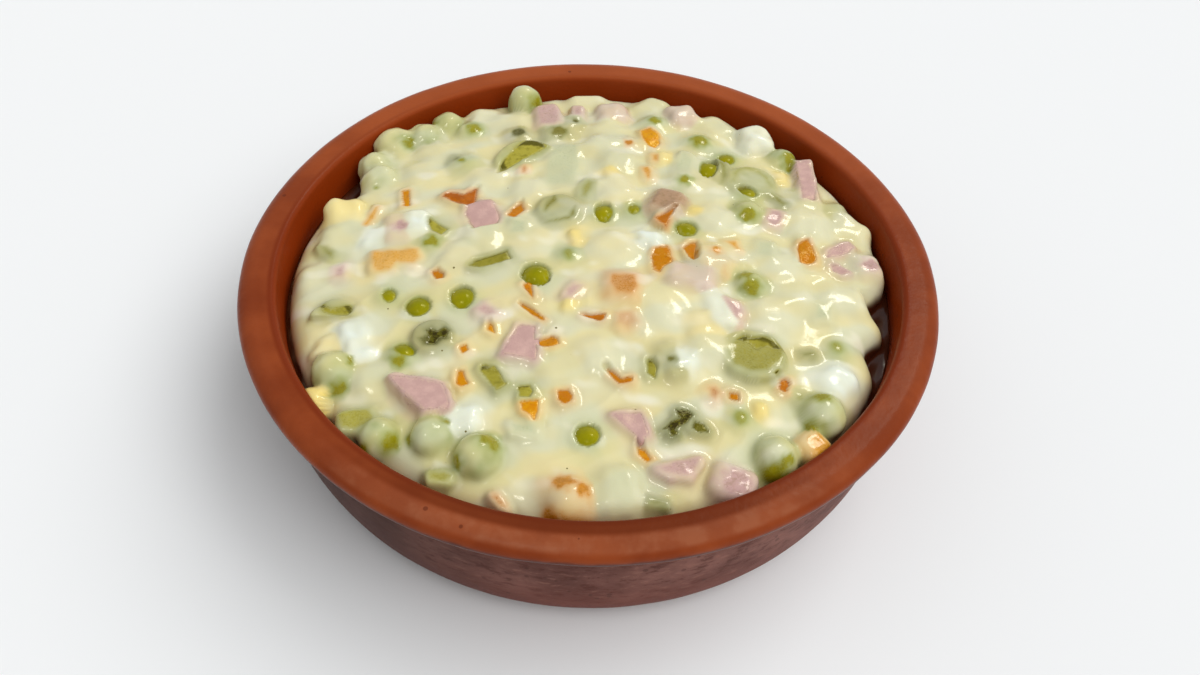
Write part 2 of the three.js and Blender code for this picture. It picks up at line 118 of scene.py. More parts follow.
# Cut pieces that come out of the dressing: stand, tone from 0 to 1, share of cloudy film left
# over them, and the outline of the bare patch, corner by corner. From tone 0 to 1, carrots go
# from brown orange to golden, ham from pink to brown, potato from cream to grey green, and
# gherkins from pale flesh to dark skin.
BARE_CUTS = {
    "carrots": [
        (1.3, 0, 0, ((-41, 21.5), (-39, 23.8), (-35, 22.5), (-31.5, 26), (-31.5, 19), (-33, 17.3),
         (-38, 19.5))),
        (1, 0.7, 0, ((-52.3, 25), (-50.5, 25.3), (-49.5, 18.5), (-51, 18.5), (-51.8, 22))),
        (0.9, 0.4, 0, ((-22.5, 13), (-21.5, 16), (-19.3, 19), (-18.5, 16), (-20.5, 12.5))),
        (0.9, 0.2, 0.25, ((-20.5, 34), (-19.3, 35), (-18.3, 33.5), (-18.8, 31), (-20.3, 31.3))),
        (1.2, 1, 0.32, ((-57.4, 0.6), (-51, 1), (-44.6, 1.2), (-43.6, -2), (-45, -5),
         (-49.6, -4.6), (-51, -7.6), (-55, -7.6), (-56.5, -4))),
        (0.8, 0.4, 0, ((-40.5, -8), (-39, -7.3), (-37.5, -8.5), (-37.3, -10.3), (-38.8, -10.5))),
        (1.7, 1, 0, ((13.2, 55.1), (15.8, 57), (18.4, 53.5), (18.6, 49.9), (17.3, 47.5),
         (15.3, 48.3), (13.7, 51))),
        (0.9, 0.8, 0.2, ((16, 43), (18.4, 43), (18.2, 39.6), (16.2, 39.6))),
        (0.8, 0.8, 0.15, ((13.2, 36), (15, 36.5), (16.3, 34.5), (15.8, 31), (14.8, 30), (14, 32.5))),
        (1.3, 0.5, 0.1, ((15.5, -0.5), (16.5, 2.5), (19.5, 3.3), (20.5, 1.5), (20.8, -2.5),
         (18.5, -4), (17.5, -6.5), (16, -5.5))),
        (1, 0.5, 0, ((23.8, 3), (25.5, 5), (27.3, 5.8), (27, 2.5), (26.5, -1.5), (25.3, -0.5))),
        (1, 1, 0.2, ((34.8, 6.5), (38, 7), (39, 3), (37.5, 3), (36, 5))),
        (1.4, 0.5, 0, ((54.3, 7), (55, 9.5), (57.3, 11), (58.3, 8.5), (59, 4.5), (58.5, 2.5),
         (56.5, 1.5), (54.5, 2.2))),
        (0.9, 0.5, 0.3, ((33.5, -3.5), (35, -3.5), (34.5, -6.5), (33.3, -6))),
        (2, 0.45, 0.24, ((5, -7.6), (11.4, -7.2), (12.2, -12), (10.8, -15.4), (6.6, -15),
         (4.2, -11))),
        (1.2, 0.3, 0.7, ((2.4, -6.5), (13.2, -6.2), (12.6, -17), (10, -18), (2.6, -17))),
        (0.9, 0.2, 0.6, ((6, -21), (11, -20), (12.4, -24), (9.6, -27.5), (6, -25.4))),
        (2.8, 0.2, 0, ((16.8, 14.5), (19, 16), (22.5, 19.5), (20.5, 15), (19.3, 11.4),
         (17.5, 13))),
        (0.9, 0.2, 0, ((-2, -22.1), (4, -22), (3.8, -23.5), (2.8, -24.3), (1, -23.5))),
        (1, 0.6, 0, ((-12.8, -31.8), (-11, -30.5), (-9, -29.3), (-7.5, -30), (-7, -31.5),
         (-8.5, -32.5), (-11, -32.8))),
        (0.9, 0.6, 0, ((-16.8, -13), (-15.8, -12), (-14.7, -13), (-14.1, -17.5), (-15.3, -15.5))),
        (0.9, 0.6, 0, ((-17.3, -18.8), (-16.3, -19.2), (-14.3, -20.5), (-10.7, -24.4),
         (-11.5, -24.6), (-14, -22.5), (-16, -20.5))),
        (0.8, 0.8, 0, ((-30.8, -33), (-29.3, -32.4), (-28.6, -34), (-30, -34.8))),
        (0.9, 0.7, 0, ((-30.6, -39.8), (-29.3, -40), (-28.6, -42.5), (-27.6, -43.8),
         (-29.3, -44.6), (-30.6, -44))),
        (0.8, 0.9, 0, ((-24.4, -25.5), (-23.4, -26.3), (-22.8, -28.7), (-24.6, -27.7))),
        (1.3, 0.9, 0, ((-15.5, -48.5), (-11.3, -47.8), (-11.1, -50.5), (-11.8, -53.3),
         (-12.8, -52), (-15, -50.5))),
        (1.2, 0.4, 0, ((-6.8, -45.3), (-4.5, -44.8), (-3.3, -46.5), (-3.8, -48.5), (-5, -49),
         (-6.5, -48))),
        (1.2, 0.4, 0, ((4.6, -38.4), (6, -39.5), (8, -41.5), (10.5, -41), (10.8, -42.3),
         (8.5, -43), (7.4, -42.8), (5.5, -40.5))),
        (0.9, 0.1, 0.3, ((28.2, -42.5), (30.3, -42), (31.6, -44), (30, -46.4), (28.4, -45.1))),
        (0.8, 0.5, 0, ((33.4, -43.3), (35.7, -43.5), (35.6, -45.4), (33.6, -45))),
        (0.9, 0.2, 0, ((45.9, -38.9), (47.5, -37.8), (48, -39.1), (47, -42.3), (45.6, -41.2))),
        (0.9, 0.8, 0, ((12, -59.5), (13.5, -60.5), (15, -62.8), (14, -63.3), (12, -61.5))),
        (1.6, 0.3, 0.2, ((-20.5, -71.6), (-19, -71.6), (-17, -73.8), (-16.6, -75), (-18.5, -74.3))),
        (1.2, 1, 0.15, ((-57.6, 19), (-58.3, 14), (-59.8, 10), (-61, 11), (-60, 15), (-59, 18.8))),
    ],
    "ham": [
        (1.4, 0, 0, ((-33.5, 18.5), (-30, 20), (-27.5, 19.5), (-25.3, 17), (-24.2, 14),
         (-25.2, 11), (-28, 10), (-31, 9), (-33.8, 14))),
        (1.1, 0, 0.3, ((-28, -21), (-26, -19), (-23.5, -20.5), (-22.3, -23), (-25, -23.7),
         (-27, -22.5))),
        (1, 0, 0.3, ((-6, -14), (-4.5, -12), (-2, -12.5), (-2.8, -14.5), (-4.5, -17), (-6.3, -17))),
        (1.6, 0, 0, ((-17.3, -26), (-16.5, -25.5), (-13, -25.5), (-13.3, -28), (-12.5, -32),
         (-12, -37.3), (-16, -36), (-21, -35.5), (-19.3, -31.5))),
        (3.6, 0, 0, ((-46.2, -40.3), (-41, -40.6), (-37, -41.2), (-33.8, -42), (-31.3, -48),
         (-31.5, -49.5), (-37, -50.6), (-40, -48), (-43.3, -44.5))),
        (1.3, 0, 0.2, ((33, -14), (37, -16), (38.2, -18), (37, -20.5), (36, -23.5), (35, -21),
         (34, -18.5))),
        (1.2, 0, 0.15, ((46.8, 18), (48.5, 21.3), (51, 21.3), (51.5, 18.5), (50, 15),
         (47.8, 14.8))),
        (1.6, 0, 0.1, ((62.3, 5.8), (63, 8.5), (66.5, 11.5), (69, 12.3), (70, 10.8), (68, 8),
         (64.5, 6.3))),
        (1.2, 0, 0.1, ((63.3, 2.5), (65, 2.5), (67.5, 0), (65.5, -0.8), (63.5, 0.5))),
        (3.4, 0, 0.1, ((57.8, 46.5), (61.5, 47.6), (62, 36), (61, 29), (57.7, 29.5), (57.9, 37))),
        (3, 0, 0.3, ((-18, 66), (-17, 60), (-16.5, 57.5), (-12, 57), (-10.4, 59), (-10.8, 65),
         (-13, 68))),
        (2.4, 0, 0.3, ((-6.9, 67), (-4, 67), (-4.2, 62), (-7, 62))),
        (2.2, 0, 0.2, ((15.6, -64), (20.9, -61.6), (26.4, -60.4), (25, -63.6), (23.4, -66),
         (19, -65.6))),
        (1.8, 0, 0, ((5.6, -50.9), (12.5, -49.9), (14.3, -56.3), (12.5, -57.6), (8.5, -53.5))),
        (1.1, 0, 0.3, ((-66, -5), (-63.5, -4), (-62.6, -6.5), (-63.2, -8.5), (-65.5, -8.3))),
    ],
    "potato": [
        (0.9, 1, 0.3, ((-17.5, -54.5), (-11.5, -54.5), (-11, -58), (-16.5, -57.5))),
        (0.9, 1, 0.5, ((5.6, -65.4), (10, -66.4), (10.6, -71), (5.8, -71.6))),
        (0.8, 1, 0.3, ((-22, 6), (-17.5, 5.5), (-17, 11), (-21.5, 11.5))),
        (0.8, 1, 0.4, ((-13.5, 27), (-5, 26), (-3.6, 36), (-5, 46), (-12, 46), (-14, 36))),
        (0.8, 1, 0.4, ((22, 30), (26.5, 30), (28.5, 41), (25, 45), (22.5, 38))),
        (0.8, 1, 0.4, ((42.5, 2), (47.5, 1), (48, 7.5), (43.5, 8))),
        (0.8, 1, 0.3, ((56, -18.5), (60, -18), (61, -13.5), (57, -13))),
    ],
    "gherkins": [
        (0.9, 0.5, 0.3, ((34.8, 30.6), (36, 31), (37.6, 35), (37.5, 39.5), (36, 42.4),
         (34.6, 41), (35.4, 36))),
        (0.9, 0.4, 0.3, ((-47, 60.4), (-45.4, 60), (-42.8, 55.6), (-44.2, 55))),
        (0.9, 0.8, 0.2, ((-40, 37.4), (-37.8, 37.2), (-37.4, 39.6), (-39.4, 40))),
        (0.8, 0.7, 0.2, ((52, -29.6), (55, -29), (55.2, -30.2), (52.4, -30.8))),
        (0.8, 0.2, 0.2, ((49.8, -42.2), (50.9, -42.2), (50.8, -44.4), (49.8, -44.2))),
        (1.1, 0.5, 0.08, ((-31, -6.4), (-29.6, -4.6), (-22, 0), (-20.8, -2.7), (-28, -6.6))),
        (1.4, 0.3, 0.1, ((-25, -37.8), (-21.8, -38.3), (-19.3, -43), (-18.8, -44), (-20.8, -45.8),
         (-24, -41.5), (-25.3, -39.5))),
        (1.5, 1, 0, ((20.6, -49), (23.4, -48.8), (24.5, -50.3), (23.2, -52.4), (20.5, -54),
         (20.9, -56), (19.5, -56.3), (18.8, -54.2), (17.5, -54.3), (20, -52), (21.5, -51))),
        (1.3, 0.9, 0, ((25, -52), (26.8, -52.5), (28, -54.5), (25.5, -54.6), (24.3, -53.6))),
        (1, 0.3, 0, ((14.5, -35), (15.5, -35.5), (16.4, -38.5), (15.8, -41), (14.3, -39.5),
         (14.2, -37))),
        (2.4, 0.1, 0.15, ((-57.2, -50.5), (-55, -49.3), (-50.5, -48.5), (-48.5, -51),
         (-48.5, -53.3), (-52, -54.8), (-55.5, -54.5), (-57, -53))),
        (2, 0.2, 0.25, ((-35, -66.2), (-31, -65.6), (-29.2, -67), (-30.5, -68.8), (-34, -68.4))),
        (1, 0.15, 0, ((-43.5, 12.5), (-42, 11.5), (-38, 8), (-39.3, 6), (-41.5, 7.5), (-43.3, 10))),
        (0.9, 0.3, 0.3, ((-3.5, 22), (-3.3, 26.5), (-1.5, 28.5), (0.3, 27.5), (-0.5, 25),
         (-1.8, 21.5))),
        (1.1, 0.6, 0.25, ((48, 28.5), (49, 29), (51.5, 27.5), (53.5, 25), (52, 23.5), (50, 26))),
        (1.2, 0.4, 0.25, ((-71.5, 3.5), (-69, 3.2), (-66.8, 1), (-67, -1.5), (-69.5, 0.5))),
        (1, 0.2, 0, ((-16, -44.5), (-13.5, -44), (-12.5, -45.5), (-13.3, -47.3), (-15.5, -47.3))),
        (1.4, 0.8, 0.3, ((14.5, -71.8), (18.5, -72.2), (18.3, -73.4), (14.8, -73))),
    ],
}

# Coated dice: kind, place, width, length, turn in degrees, stand, tone, and the form of one
# that isn't a block.
COATED_DICE = [
    ("ham", 19.6, 21.4, 9.4, 12, -24, 2.4, 1),
    ("carrots", 31, 0.6, 9, 9, 20, 1.9, 0.7),
    ("carrots", -3.8, -68.8, 15, 10.8, -24, 3.3, 0.6, "oval"),
    ("potato", 7.6, -69.4, 8, 9, 10, 1.4, 1),
    ("carrots", 52, -53.6, 7.4, 7, 40, 3.4, 0.9),
    ("carrots", 9.4, 47.3, 4.4, 5, 30, 0.8, 0.5),
    ("ham", 73, 4.4, 6.4, 7.4, 8, 1.6, 0),
    ("ham", 25.4, -6.4, 12, 8, -10, 2, 0),
    ("ham", 33, -64.8, 10.4, 8.4, -16, 3, 0),
    ("ham", 5, 66, 9, 9, 12, 2.6, 0),
    ("ham", 25.6, 67.6, 8.4, 8.4, 20, 3.4, 0),
    ("ham", -51, 9.6, 6.4, 10.4, 6, 1.5, 0),
    ("gherkins", 19.9, -35.4, 3, 10, 20, 1.3, 0.8),
    ("gherkins", -11, 52.6, 8, 5, 14, 1.6, 0.7),
    ("gherkins", -22.4, 51.8, 5, 5.4, 20, 1.2, 1),
    ("gherkins", -6.4, 58.4, 3.4, 4.6, 20, 1.2, 0.9),
    ("gherkins", 66, 25.6, 6.4, 5.4, 12, 1.4, 0.3),
]

# Gherkin slices: place, diameter, turn of the cut edge in degrees, share of the round that is
# left, stand, darkness, and each patch with its cloudy film and its outline.
GHERKIN_SLICES = [
    (40, -31.6, 14.8, -14, 1, 1.4, 0.25, [
        (0, ((36.2, -26.4), (38, -24.8), (39.5, -25.8), (43, -25.4), (45, -27), (47.4, -30),
             (44.6, -29.3), (42.4, -28.6), (40.4, -29.6), (39.2, -27.6))),
        (0.2, ((36, -26), (38, -25.2), (43, -26), (45, -27), (47, -30), (46.4, -34),
               (43, -37), (38.4, -37), (34.6, -35), (33.6, -31), (34.6, -28)))]),
    (-9, 16.4, 11, 60, 1, 0.9, 0.6, [
        (0.15, ((-13.3, 15), (-12.8, 18), (-10.5, 22), (-9.5, 19.5), (-12.5, 15))),
        (0.15, ((-4.8, 17.5), (-4.5, 14), (-6, 12), (-10, 11), (-12.8, 11), (-10, 12.3),
                (-6.5, 13.8), (-5.5, 16)))]),
    (-37.6, -29, 9.4, 20, 1, 1.1, 1.0, [
        (0.05, ((-39.4, -27.8), (-38.2, -27), (-36.6, -28), (-35, -26.6), (-33.8, -27.6),
                (-34.4, -30), (-36, -29.6), (-37, -31.6), (-38.6, -31.4), (-38.4, -29.6))),
        (0.2, ((-41, -30), (-38, -28), (-33.6, -30), (-36.4, -32.4), (-40, -32.4)))]),
    (-19.2, 38.9, 16.4, 40, 0.5, 1.3, 0.1, [
        (0, ((-26.5, 33), (-26.3, 36), (-25, 39.5), (-22.9, 42.8), (-20.8, 46), (-18.8, 47.4),
             (-16, 46.7), (-13.4, 43.8), (-16.6, 41), (-20.5, 38.2), (-24.5, 34.3)))]),
    (-63.6, -20.8, 10.4, 2, 0.5, 1.1, 0.3, [
        (0.1, ((-68, -17.3), (-66.5, -16.8), (-64.5, -18.8), (-62, -17.8), (-58.8, -17),
               (-59, -19.3), (-60, -21.3), (-63, -20.8), (-65.5, -20)))]),
    (44, 33.6, 12.6, 0, 1, 0.9, 0.2, [
        (0.3, ((38.2, 32.6), (39, 36.6), (40.4, 39), (43, 40.4), (46.4, 39), (48.8, 36),
               (50.2, 31.4), (49.2, 31.2), (47.8, 35), (45.8, 37.6), (43, 38.6), (41, 37.4),
               (40, 35), (39.2, 32.4)))]),
]

# Egg: place, width, length, turn in degrees, stand, and tone from 0, white, to 1, yolk.
EGG = [
    (-46.3, 12, 5, 9.4, 8, 1.9, 0),
    (-57, 6.6, 6, 8, -6, 1.3, 0),
    (-56.4, -28.8, 6.8, 14, 21, 1.5, 0),
    (-29.4, -52.4, 11, 7, 4, 1.6, 0),
    (46.8, 58.4, 10, 11, 14, 4.2, 0.15),
    (59.4, -35.4, 10.4, 8.4, 34, 1.6, 0),
    (23, -34.8, 5, 7, -20, 1.4, 0),
    (32.2, -17, 5, 12, 14, 1.5, 0.1),
    (15, 6.4, 6, 5, 0, 1.2, 0),
    (-67, 19.4, 11, 11, 10, 3.4, 0.8),
    (-64, -44.6, 6, 6, 0, 2.4, 1),
    (-62.6, -31, 7, 8, -20, 1.5, 0.7),
    (28, -22.6, 8, 8, 20, 1.1, 0.7),
    (-4, 5.6, 2.2, 4.6, 16, 0.8, 1),
    (4.8, 32.4, 2.2, 4.2, 20, 0.8, 1),
    (-5.1, -19.5, 2, 2, 0, 0.8, 1),
    (27.8, 18, 2, 2.2, 0, 0.7, 1),
    (40.5, -47.4, 1.8, 3.2, 0, 0.9, 1),
    (53, 38.2, 2.4, 4, 0, 0.9, 1),
    (20.4, 42, 3, 4, 0, 0.8, 0.9),
]

# Bare caps of peas: place, width, length, turn in degrees, and cloudy film.
PEA_CAPS = [
    (-31.8, -15.8, 5.7, 7.0, 0, 0),
    (-42.5, -18.8, 5.8, 5.8, 0, 0),
    (-50.3, -15.3, 3.2, 4.0, 15, 0.1),
    (-44.1, -32.4, 5.4, 3.8, -35, 0),
    (-13.9, -7.6, 6.8, 7.4, 30, 0.1),
    (-5.9, -1.2, 3.4, 5.4, 8, 0.3),
    (2.9, 16.6, 4.8, 6.6, 0, 0.1),
    (11, 17.8, 3.0, 3.8, -10, 0.1),
    (24.9, 11.3, 5.4, 5.2, 0, 0.1),
    (32.3, 39.2, 4.4, 7.8, -14, 0),
    (37.7, 44.4, 4.6, 4.6, 20, 0),
    (0.4, -56.3, 5.4, 5.9, 0, 0),
    (42.6, 29.2, 5.0, 3.4, -40, 0),
    (61, -26.3, 3.4, 4.6, 20, 0.3),
    (35.7, -50.1, 4, 5.2, 0, 0.25),
]

# Thin spots of the dressing on coated pieces: the piece's place, the spot's bearing and elevation
# on it in degrees, and the spot's width.
THIN_SPOTS = [
    (-24, -63.4, 40, 48, 8),
    (-24, -63.4, -150, 20, 5),
    (-47, -58, -40, 30, 6),
    (-47, -58, -130, 10, 4),
    (-60.4, -39.8, -66, 4, 7),
    (-60.4, -39.8, 21, 45, 3),
    (55.4, -48, 95, 62, 5.4),
    (55.4, -48, -120, 14, 6),
    (43.4, -60.4, -100, 6, 8),
    (43.4, -60.4, -50, 44, 4),
    (-35, -58.2, 40, 30, 4),
    (-35, -58.2, 190, 10, 4),
    (-21.6, 70.5, -30, 10, 8),
    (41.7, 16.6, -85, 60, 6),
    (40.6, -11.4, 120, 60, 5),
    (40.6, -11.4, -85, 60, 6),
    (-58, 47.4, -20, 40, 7),
    (-36.5, 51, -20, 74, 6),
    (54, 45, -30, 60, 6),
    (54, 45, -60, 20, 6),
    (-62.2, 37.6, -60, 30, 4),
    (-60, 30, -90, 20, 4),
    (-49.4, 50, -60, 24, 5),
    (-43.6, 57, -150, 20, 6),
    (-35.5, 36.6, 140, 60, 3),
    (-41.8, 3.4, -60, 84, 6),
    (30, 52.2, -60, 84, 7),
    (17.2, 61, 60, 84, 5),
    (24.7, 32, -60, 80, 5),
    (-44.4, -33.4, -100, 50, 5),
    (19.6, 21.4, 70, 80, 13),
    (-3.6, -68, 110, 70, 6),
    (-3.6, -68, 0, 62, 4.6),
    (-3.6, -68, -110, -10, 8),
    (-3.6, -68, -70, -20, 8),
    (52, -53.6, -60, 20, 8),
    (52, -53.6, 0, 70, 5),
    (31, 0.6, 60, 60, 4),
    (33, -64.8, -60, 70, 9),
    (73, 4.4, 0, 80, 6),
    (9.4, 47.3, 0, 85, 4),
    (-11, 52.6, 0, 85, 6),
    (-22.4, 51.8, 0, 85, 5),
    (-6.4, 58.4, 0, 85, 3),
    (19.9, -35.4, 0, 85, 3),
    (-51, 9.6, 0, 80, 5),
]

# Dressed potato fills what is left between the other pieces.
POTATO_TRIES = 2600
POTATO_SIZES = (7, 11)
POTATO_STANDS = (0.3, 2.2)
POTATO_CROWDING = 0.98
POTATO_SEED = 4021
POTATO_SINK = 1.2

# Cut pieces: thickness of slices, sticks and dice, and the most that one is tilted, in degrees.
SLICE_THICKNESS = 3.4
STICK_DEPTH = 4.6
DICE_DEPTH_SHARE = 0.9
DICE_TILT = 6
TILT_SEED = 977
# A cut piece with a bare patch is larger than the patch by the margin on each side, has corners
# in plan of this rounding, and stands lower than its row says by the sink.
DIE_MARGIN = 0.7
DIE_CORNER = 0.9
BARE_SINK = 0.35
# Egg below this tone is white, and above it yolk.
YOLK_TONE = 0.5
# Tilt of a pea about X and Y, in degrees for each millimetre of its place.
PEA_TILT = (7, 5)

# Rounding of each form's edges, as a share of its least half size, and a half slice's cut edge.
BLOCK_ROUNDING = 0.6
EGG_ROUNDING = 0.7
BARE_ROUNDING = 0.4
LUMP_ROUNDING = 0.62
DISC_ROUNDING = 0.3
HALF_DISC_CORNER = 0.8
# Depth, length and number of the waves that make each form uneven.
UNEVENNESS = {
    "ball": (0.08, 5, 4),
    "lump": (0.22, 8, 4),
    "block": (0.16, 5, 4),
    "oval": (0.3, 7, 4),
    "disc": (0.16, 5, 4),
    "half_disc": (0.16, 5, 4),
    "white": (0.42, 5.5, 9),
    "yolk": (0.5, 5.5, 12),
}

# Dressing over a piece: its thickness, how unevenly it coats a ball, and from where to where,
# measured out from a bare patch's edge, it comes back to its full thickness.
COAT = 0.36
COAT_WAVER = 0.45
COAT_LENGTHS = (7, 3)
COAT_WAVE_COUNT = 14
COAT_SEED = 60
THINNING = (-0.6, 1.8)
# How far round it runs together with a piece. One that stands higher than a lump's least stand
# keeps its form more.
LUMP_STAND = 1.9
LOOSE_BLEND = 3.6
TIGHT_BLEND = 1.8
BALL_BLEND = 0.9
# How much further round for each millimetre of heavy cover on a pea.
COVER_BLEND = 2
# Edge of a bare patch: how ragged it is on a cut piece and on a ball, how far under the piece's
# surface the dressing passes there, how steeply it rises from the edge and how that grows, how
# round it is, and how far a ball's room reaches past it.
RAGGED = 0.18
ROUND_RAGGED = 0.08
RAGGED_LENGTHS = (3.4, 1.8)
FINE_RAGGED = 0.4
RAGGED_SEED = 5
SUNK = 0.16
EDGE_SLOPE = {"peas": 0.6, "carrots": 0.6, "ham": 0.45, "gherkins": 0.6, "potato": 0.6}
EDGE_CURVE = 0.35
MENISCUS = 0.12
BALL_LIP = 0.5
CAP_CORNERS = 24
# How far in from a patch's edge the cloudy film on the piece reaches.
VEIL_REACH = 2.2
# A patch with a veil of at least the first share isn't bare but a window in the film: how much
# film is left in it for a whole veil, and how softly it ends with no veil and with a whole one.
WINDOW_VEIL = 0.15
WINDOW_FILM = 0.4
WINDOW_EDGE = (0.6, 2.8)

# Open dressing: how far it stands over the dome, the depths of its folds and ridges, and the
# depth, length and seed of the waves that make them, its slow roll and its fine unevenness.
# Ridges come only where their own places are within a range.
POOLING = 0.35
FOLDS = 0.6
RIDGES = 0.2
FOLD_WAVES = [(1, 26, 13), (0.2, 10, 14)]
ROLL_WAVES = [(0.35, 19, 11), (0.1, 10, 12)]
RIDGE_WAVES = [(1, 15, 15), (0.2, 7, 16)]
RIDGE_PLACES = [(1, 34, 17)]
RIDGE_RANGE = (-0.3, 0.5)
FINE_WAVES = [(0.06, 8, 21)]
# The heap's edge: how far it leans out for each millimetre down, and how round its shoulder is.
# The cosines of the mean slopes turn a gap along an axis into a distance.
EDGE_LEAN = 0.18
SHOULDER_BLEND = 5.0
DOME_COSINE = 0.96
EDGE_COSINE = 0.94

# The skin of the dressing: cells of its grid, where its rays start, how far they reach, and how
# many steps they take, each this share of the distance that is left.
SKIN_CELLS = 300
SKIN_START = 11.0
SKIN_REACH = 18.0
SKIN_STEPS = 34
SKIN_STRIDE = 0.8
# A piece counts for the rays and points that pass this near to it.
RAY_MARGIN = 4.5
POINT_MARGIN = 3.0
# From this share of the way out the skin is drawn to its outline, and it reaches this far into
# the wall. Below, rings lead down the wall to the floor, clear of both.
HELD_FROM = 0.972
WALL_OVERLAP = 0.2
CORE_RINGS = 6
CORE_START = 3.0
CORE_WALL_GAP = 0.3
CORE_FLOOR_GAP = 0.4
# Bare pieces: cells on each side of their grid, and how their points settle on their surface.
PIECE_CELLS = 14
SETTLE_ROUNDS = 4
SETTLE_STEP = 0.05
LEAST_SLOPE = 0.2

# Bowl in section: steps of its curves, and where the rim's face and shoulder start in degrees.
WALL_STEPS = 44
INSIDE_STEPS = 40
RIM_STEPS = (10, 12, 8)
RIM_FACE_START = -58
RIM_SHOULDER_START = 6
RIM_FLAT_MARGINS = (0.5, 0.4)
RIM_FLAT_POINTS = 5
# The flat underside and floor run from a small ring round the axis to the foot of the wall.
POLE_RADIUS = 6
FLAT_MARGIN = 3
UNDERSIDE_POINTS = 8
FLOOR_POINTS = 6
# Waver of hand throwing: shares of the radius towards the rim and all over, the rim's height in
# millimetres, and the length and seed of each wave.
RIM_WAVER = 0.0022
WALL_WAVER = 0.0008
HEIGHT_WAVER = 0.25
RIM_WAVE = (70, 31)
WALL_WAVE = (16, 32)
HEIGHT_WAVE = (60, 33)


def linear(red, green, blue):
    """Colour of 0 to 255 values as a linear RGBA tuple, by the usual screen curve."""
    share = np.array([red, green, blue]) / 255
    light = np.where(share <= 0.04045, share / 12.92, ((share + 0.055) / 1.055) ** 2.4)
    return (*light.tolist(), 1.0)


# Dressing: its colour, and the colours of its cool thin places and of its thick pale ones, each
# with its waves' depths, lengths and seeds, and with the range over which it comes in.
DRESSING_COLOUR = linear(230, 219, 164)
PALE_DRESSING = linear(220, 219, 184)
PALE_WAVES = [(1, 15, 41), (0.4, 6, 42)]
PALE_RANGE = (-0.5, 0.6)
THICK_DRESSING = linear(240, 236, 208)
THICK_WAVES = [(1, 12, 46), (0.3, 5, 47)]
THICK_RANGE = (0.25, 0.9)
# Clay that shows through the smear of dressing by the wall, painted darker than the bowl's clay
# as shade in the gap there, and the depths below the heap's level over which it comes in.
CLAY_SMEAR_AND_SHADE = linear(84, 40, 20)
SMEAR_DEPTHS = (2.6, 5.6)
SMEAR_WAVES = [(0.8, 6, 45)]
# For each kind of piece, from tone 0 to tone 1: its own colours, and its colours under a film of
# dressing.
FLESH = {
    "peas": (linear(152, 144, 0), linear(152, 144, 0)),
    "carrots": (linear(166, 82, 0), linear(220, 152, 4)),
    "ham": (linear(196, 158, 152), linear(178, 142, 110)),
    "gherkins": (linear(178, 168, 62), linear(88, 84, 16)),
    "egg": (linear(238, 244, 230), linear(246, 214, 116)),
    "potato": (linear(230, 224, 184), linear(190, 197, 158)),
}
FILM = {
    "peas": (linear(144, 160, 82), linear(144, 160, 82)),
    "carrots": (linear(220, 154, 96), linear(230, 178, 94)),
    "ham": (linear(210, 174, 164), linear(190, 158, 128)),
    "gherkins": (linear(164, 168, 98), linear(122, 126, 68)),
    "egg": (linear(236, 243, 230), linear(246, 218, 112)),
    "potato": (linear(230, 224, 184), linear(208, 207, 166)),
}
# For each kind of piece: how much of it shows through a mere film, and the thickness that hides
# most of it. The last pair is for a film so thin that the piece keeps its own colour.
BROAD_FILM = {
    "peas": (0.8, 0.62),
    "carrots": (0.62, 0.42),
    "ham": (0.72, 0.6),
    "gherkins": (0.8, 0.7),
    "egg": (0.95, 0.7),
    "potato": (0.85, 1.1),
}
THIN_FILM = (0.85, 0.15)
GLOW_FILM = {
    "peas": (0.24, 2.2),
    "carrots": (0.14, 1.8),
    "ham": (0.16, 1.8),
    "gherkins": (0.24, 2.2),
    "egg": (0.26, 2.2),
    "potato": (0.24, 2.2),
}
# How much thicker the film is than the skin's form says, with its waves, and how thin it is on a
# pea's sides, as a share of the film on its top.
FILM_EXTRA = 0.1
FILM_WAVES = [(0.45, 5, 43)]
SIDE_FILM = 0.75
# Edge of a thin spot, in shares of its width, and its waves.
SPOT_EDGE = (0.2, 0.75)
SPOT_WAVES = [(0.7, 2.5, 44)]
# How strongly the piece that shows most outdoes the others, in tint and in its own colour.
TINT_POWER = 4
FLESH_POWER = 3
# Painted shade in creases: the heights over the surface at which a crease is felt, the step for
# its slope, and how much of red, green and blue the painted shade takes.
CREASE_HEIGHTS = (0.8, 2.0)
CREASE_STEP = 0.1
CREASE_SHADE = (0.3, 0.32, 0.46)
# Gherkin skin round a slice: its share of the radius on the near side, and how much it grows
# towards the far side, over this share of the half size each way.
RIND_SHARE = 0.88
RIND_GROWTH = 0.2
RIND_SPAN = 0.6


# Repeatable draws and waves

DRAW_FACTOR = 16807
DRAW_PRIME = 2147483647
WAVE_SPREAD = (0.7, 1.4)
WAVE_SCALE = 1.6


def make_draws(seed):
    """Numbers between 0 and 1 that repeat from a whole-number seed: state times a factor, modulo a
    large prime."""
    state = seed

    def draw():
        """The next number."""
        nonlocal state
        state = (state * DRAW_FACTOR) % DRAW_PRIME
        return state / DRAW_PRIME

    return draw


def waves(points, length, seed, count=9):
    """Smooth unevenness between about -1 and 1: the mean of plane sine waves of about the given
    length, in drawn directions, at each row of points."""
    draws = np.random.default_rng(seed)
    dims = points.shape[-1]
    ways = draws.normal(size=(count, dims))
    ways /= np.linalg.norm(ways, axis=1, keepdims=True)
    rates = 2 * np.pi / (length * draws.uniform(*WAVE_SPREAD, count))
    phases = draws.uniform(0, 2 * np.pi, count)
    total = np.zeros(points.shape[:-1])
    for way, rate, phase in zip(ways, rates, phases):
        total += np.sin(points @ (way * rate) + phase)
    return total * (WAVE_SCALE / count)


def summed_waves(points, rows):
    """The sum of several waves, each of its own depth, length and seed."""
    return sum(depth * waves(points, length, seed) for depth, length, seed in rows)


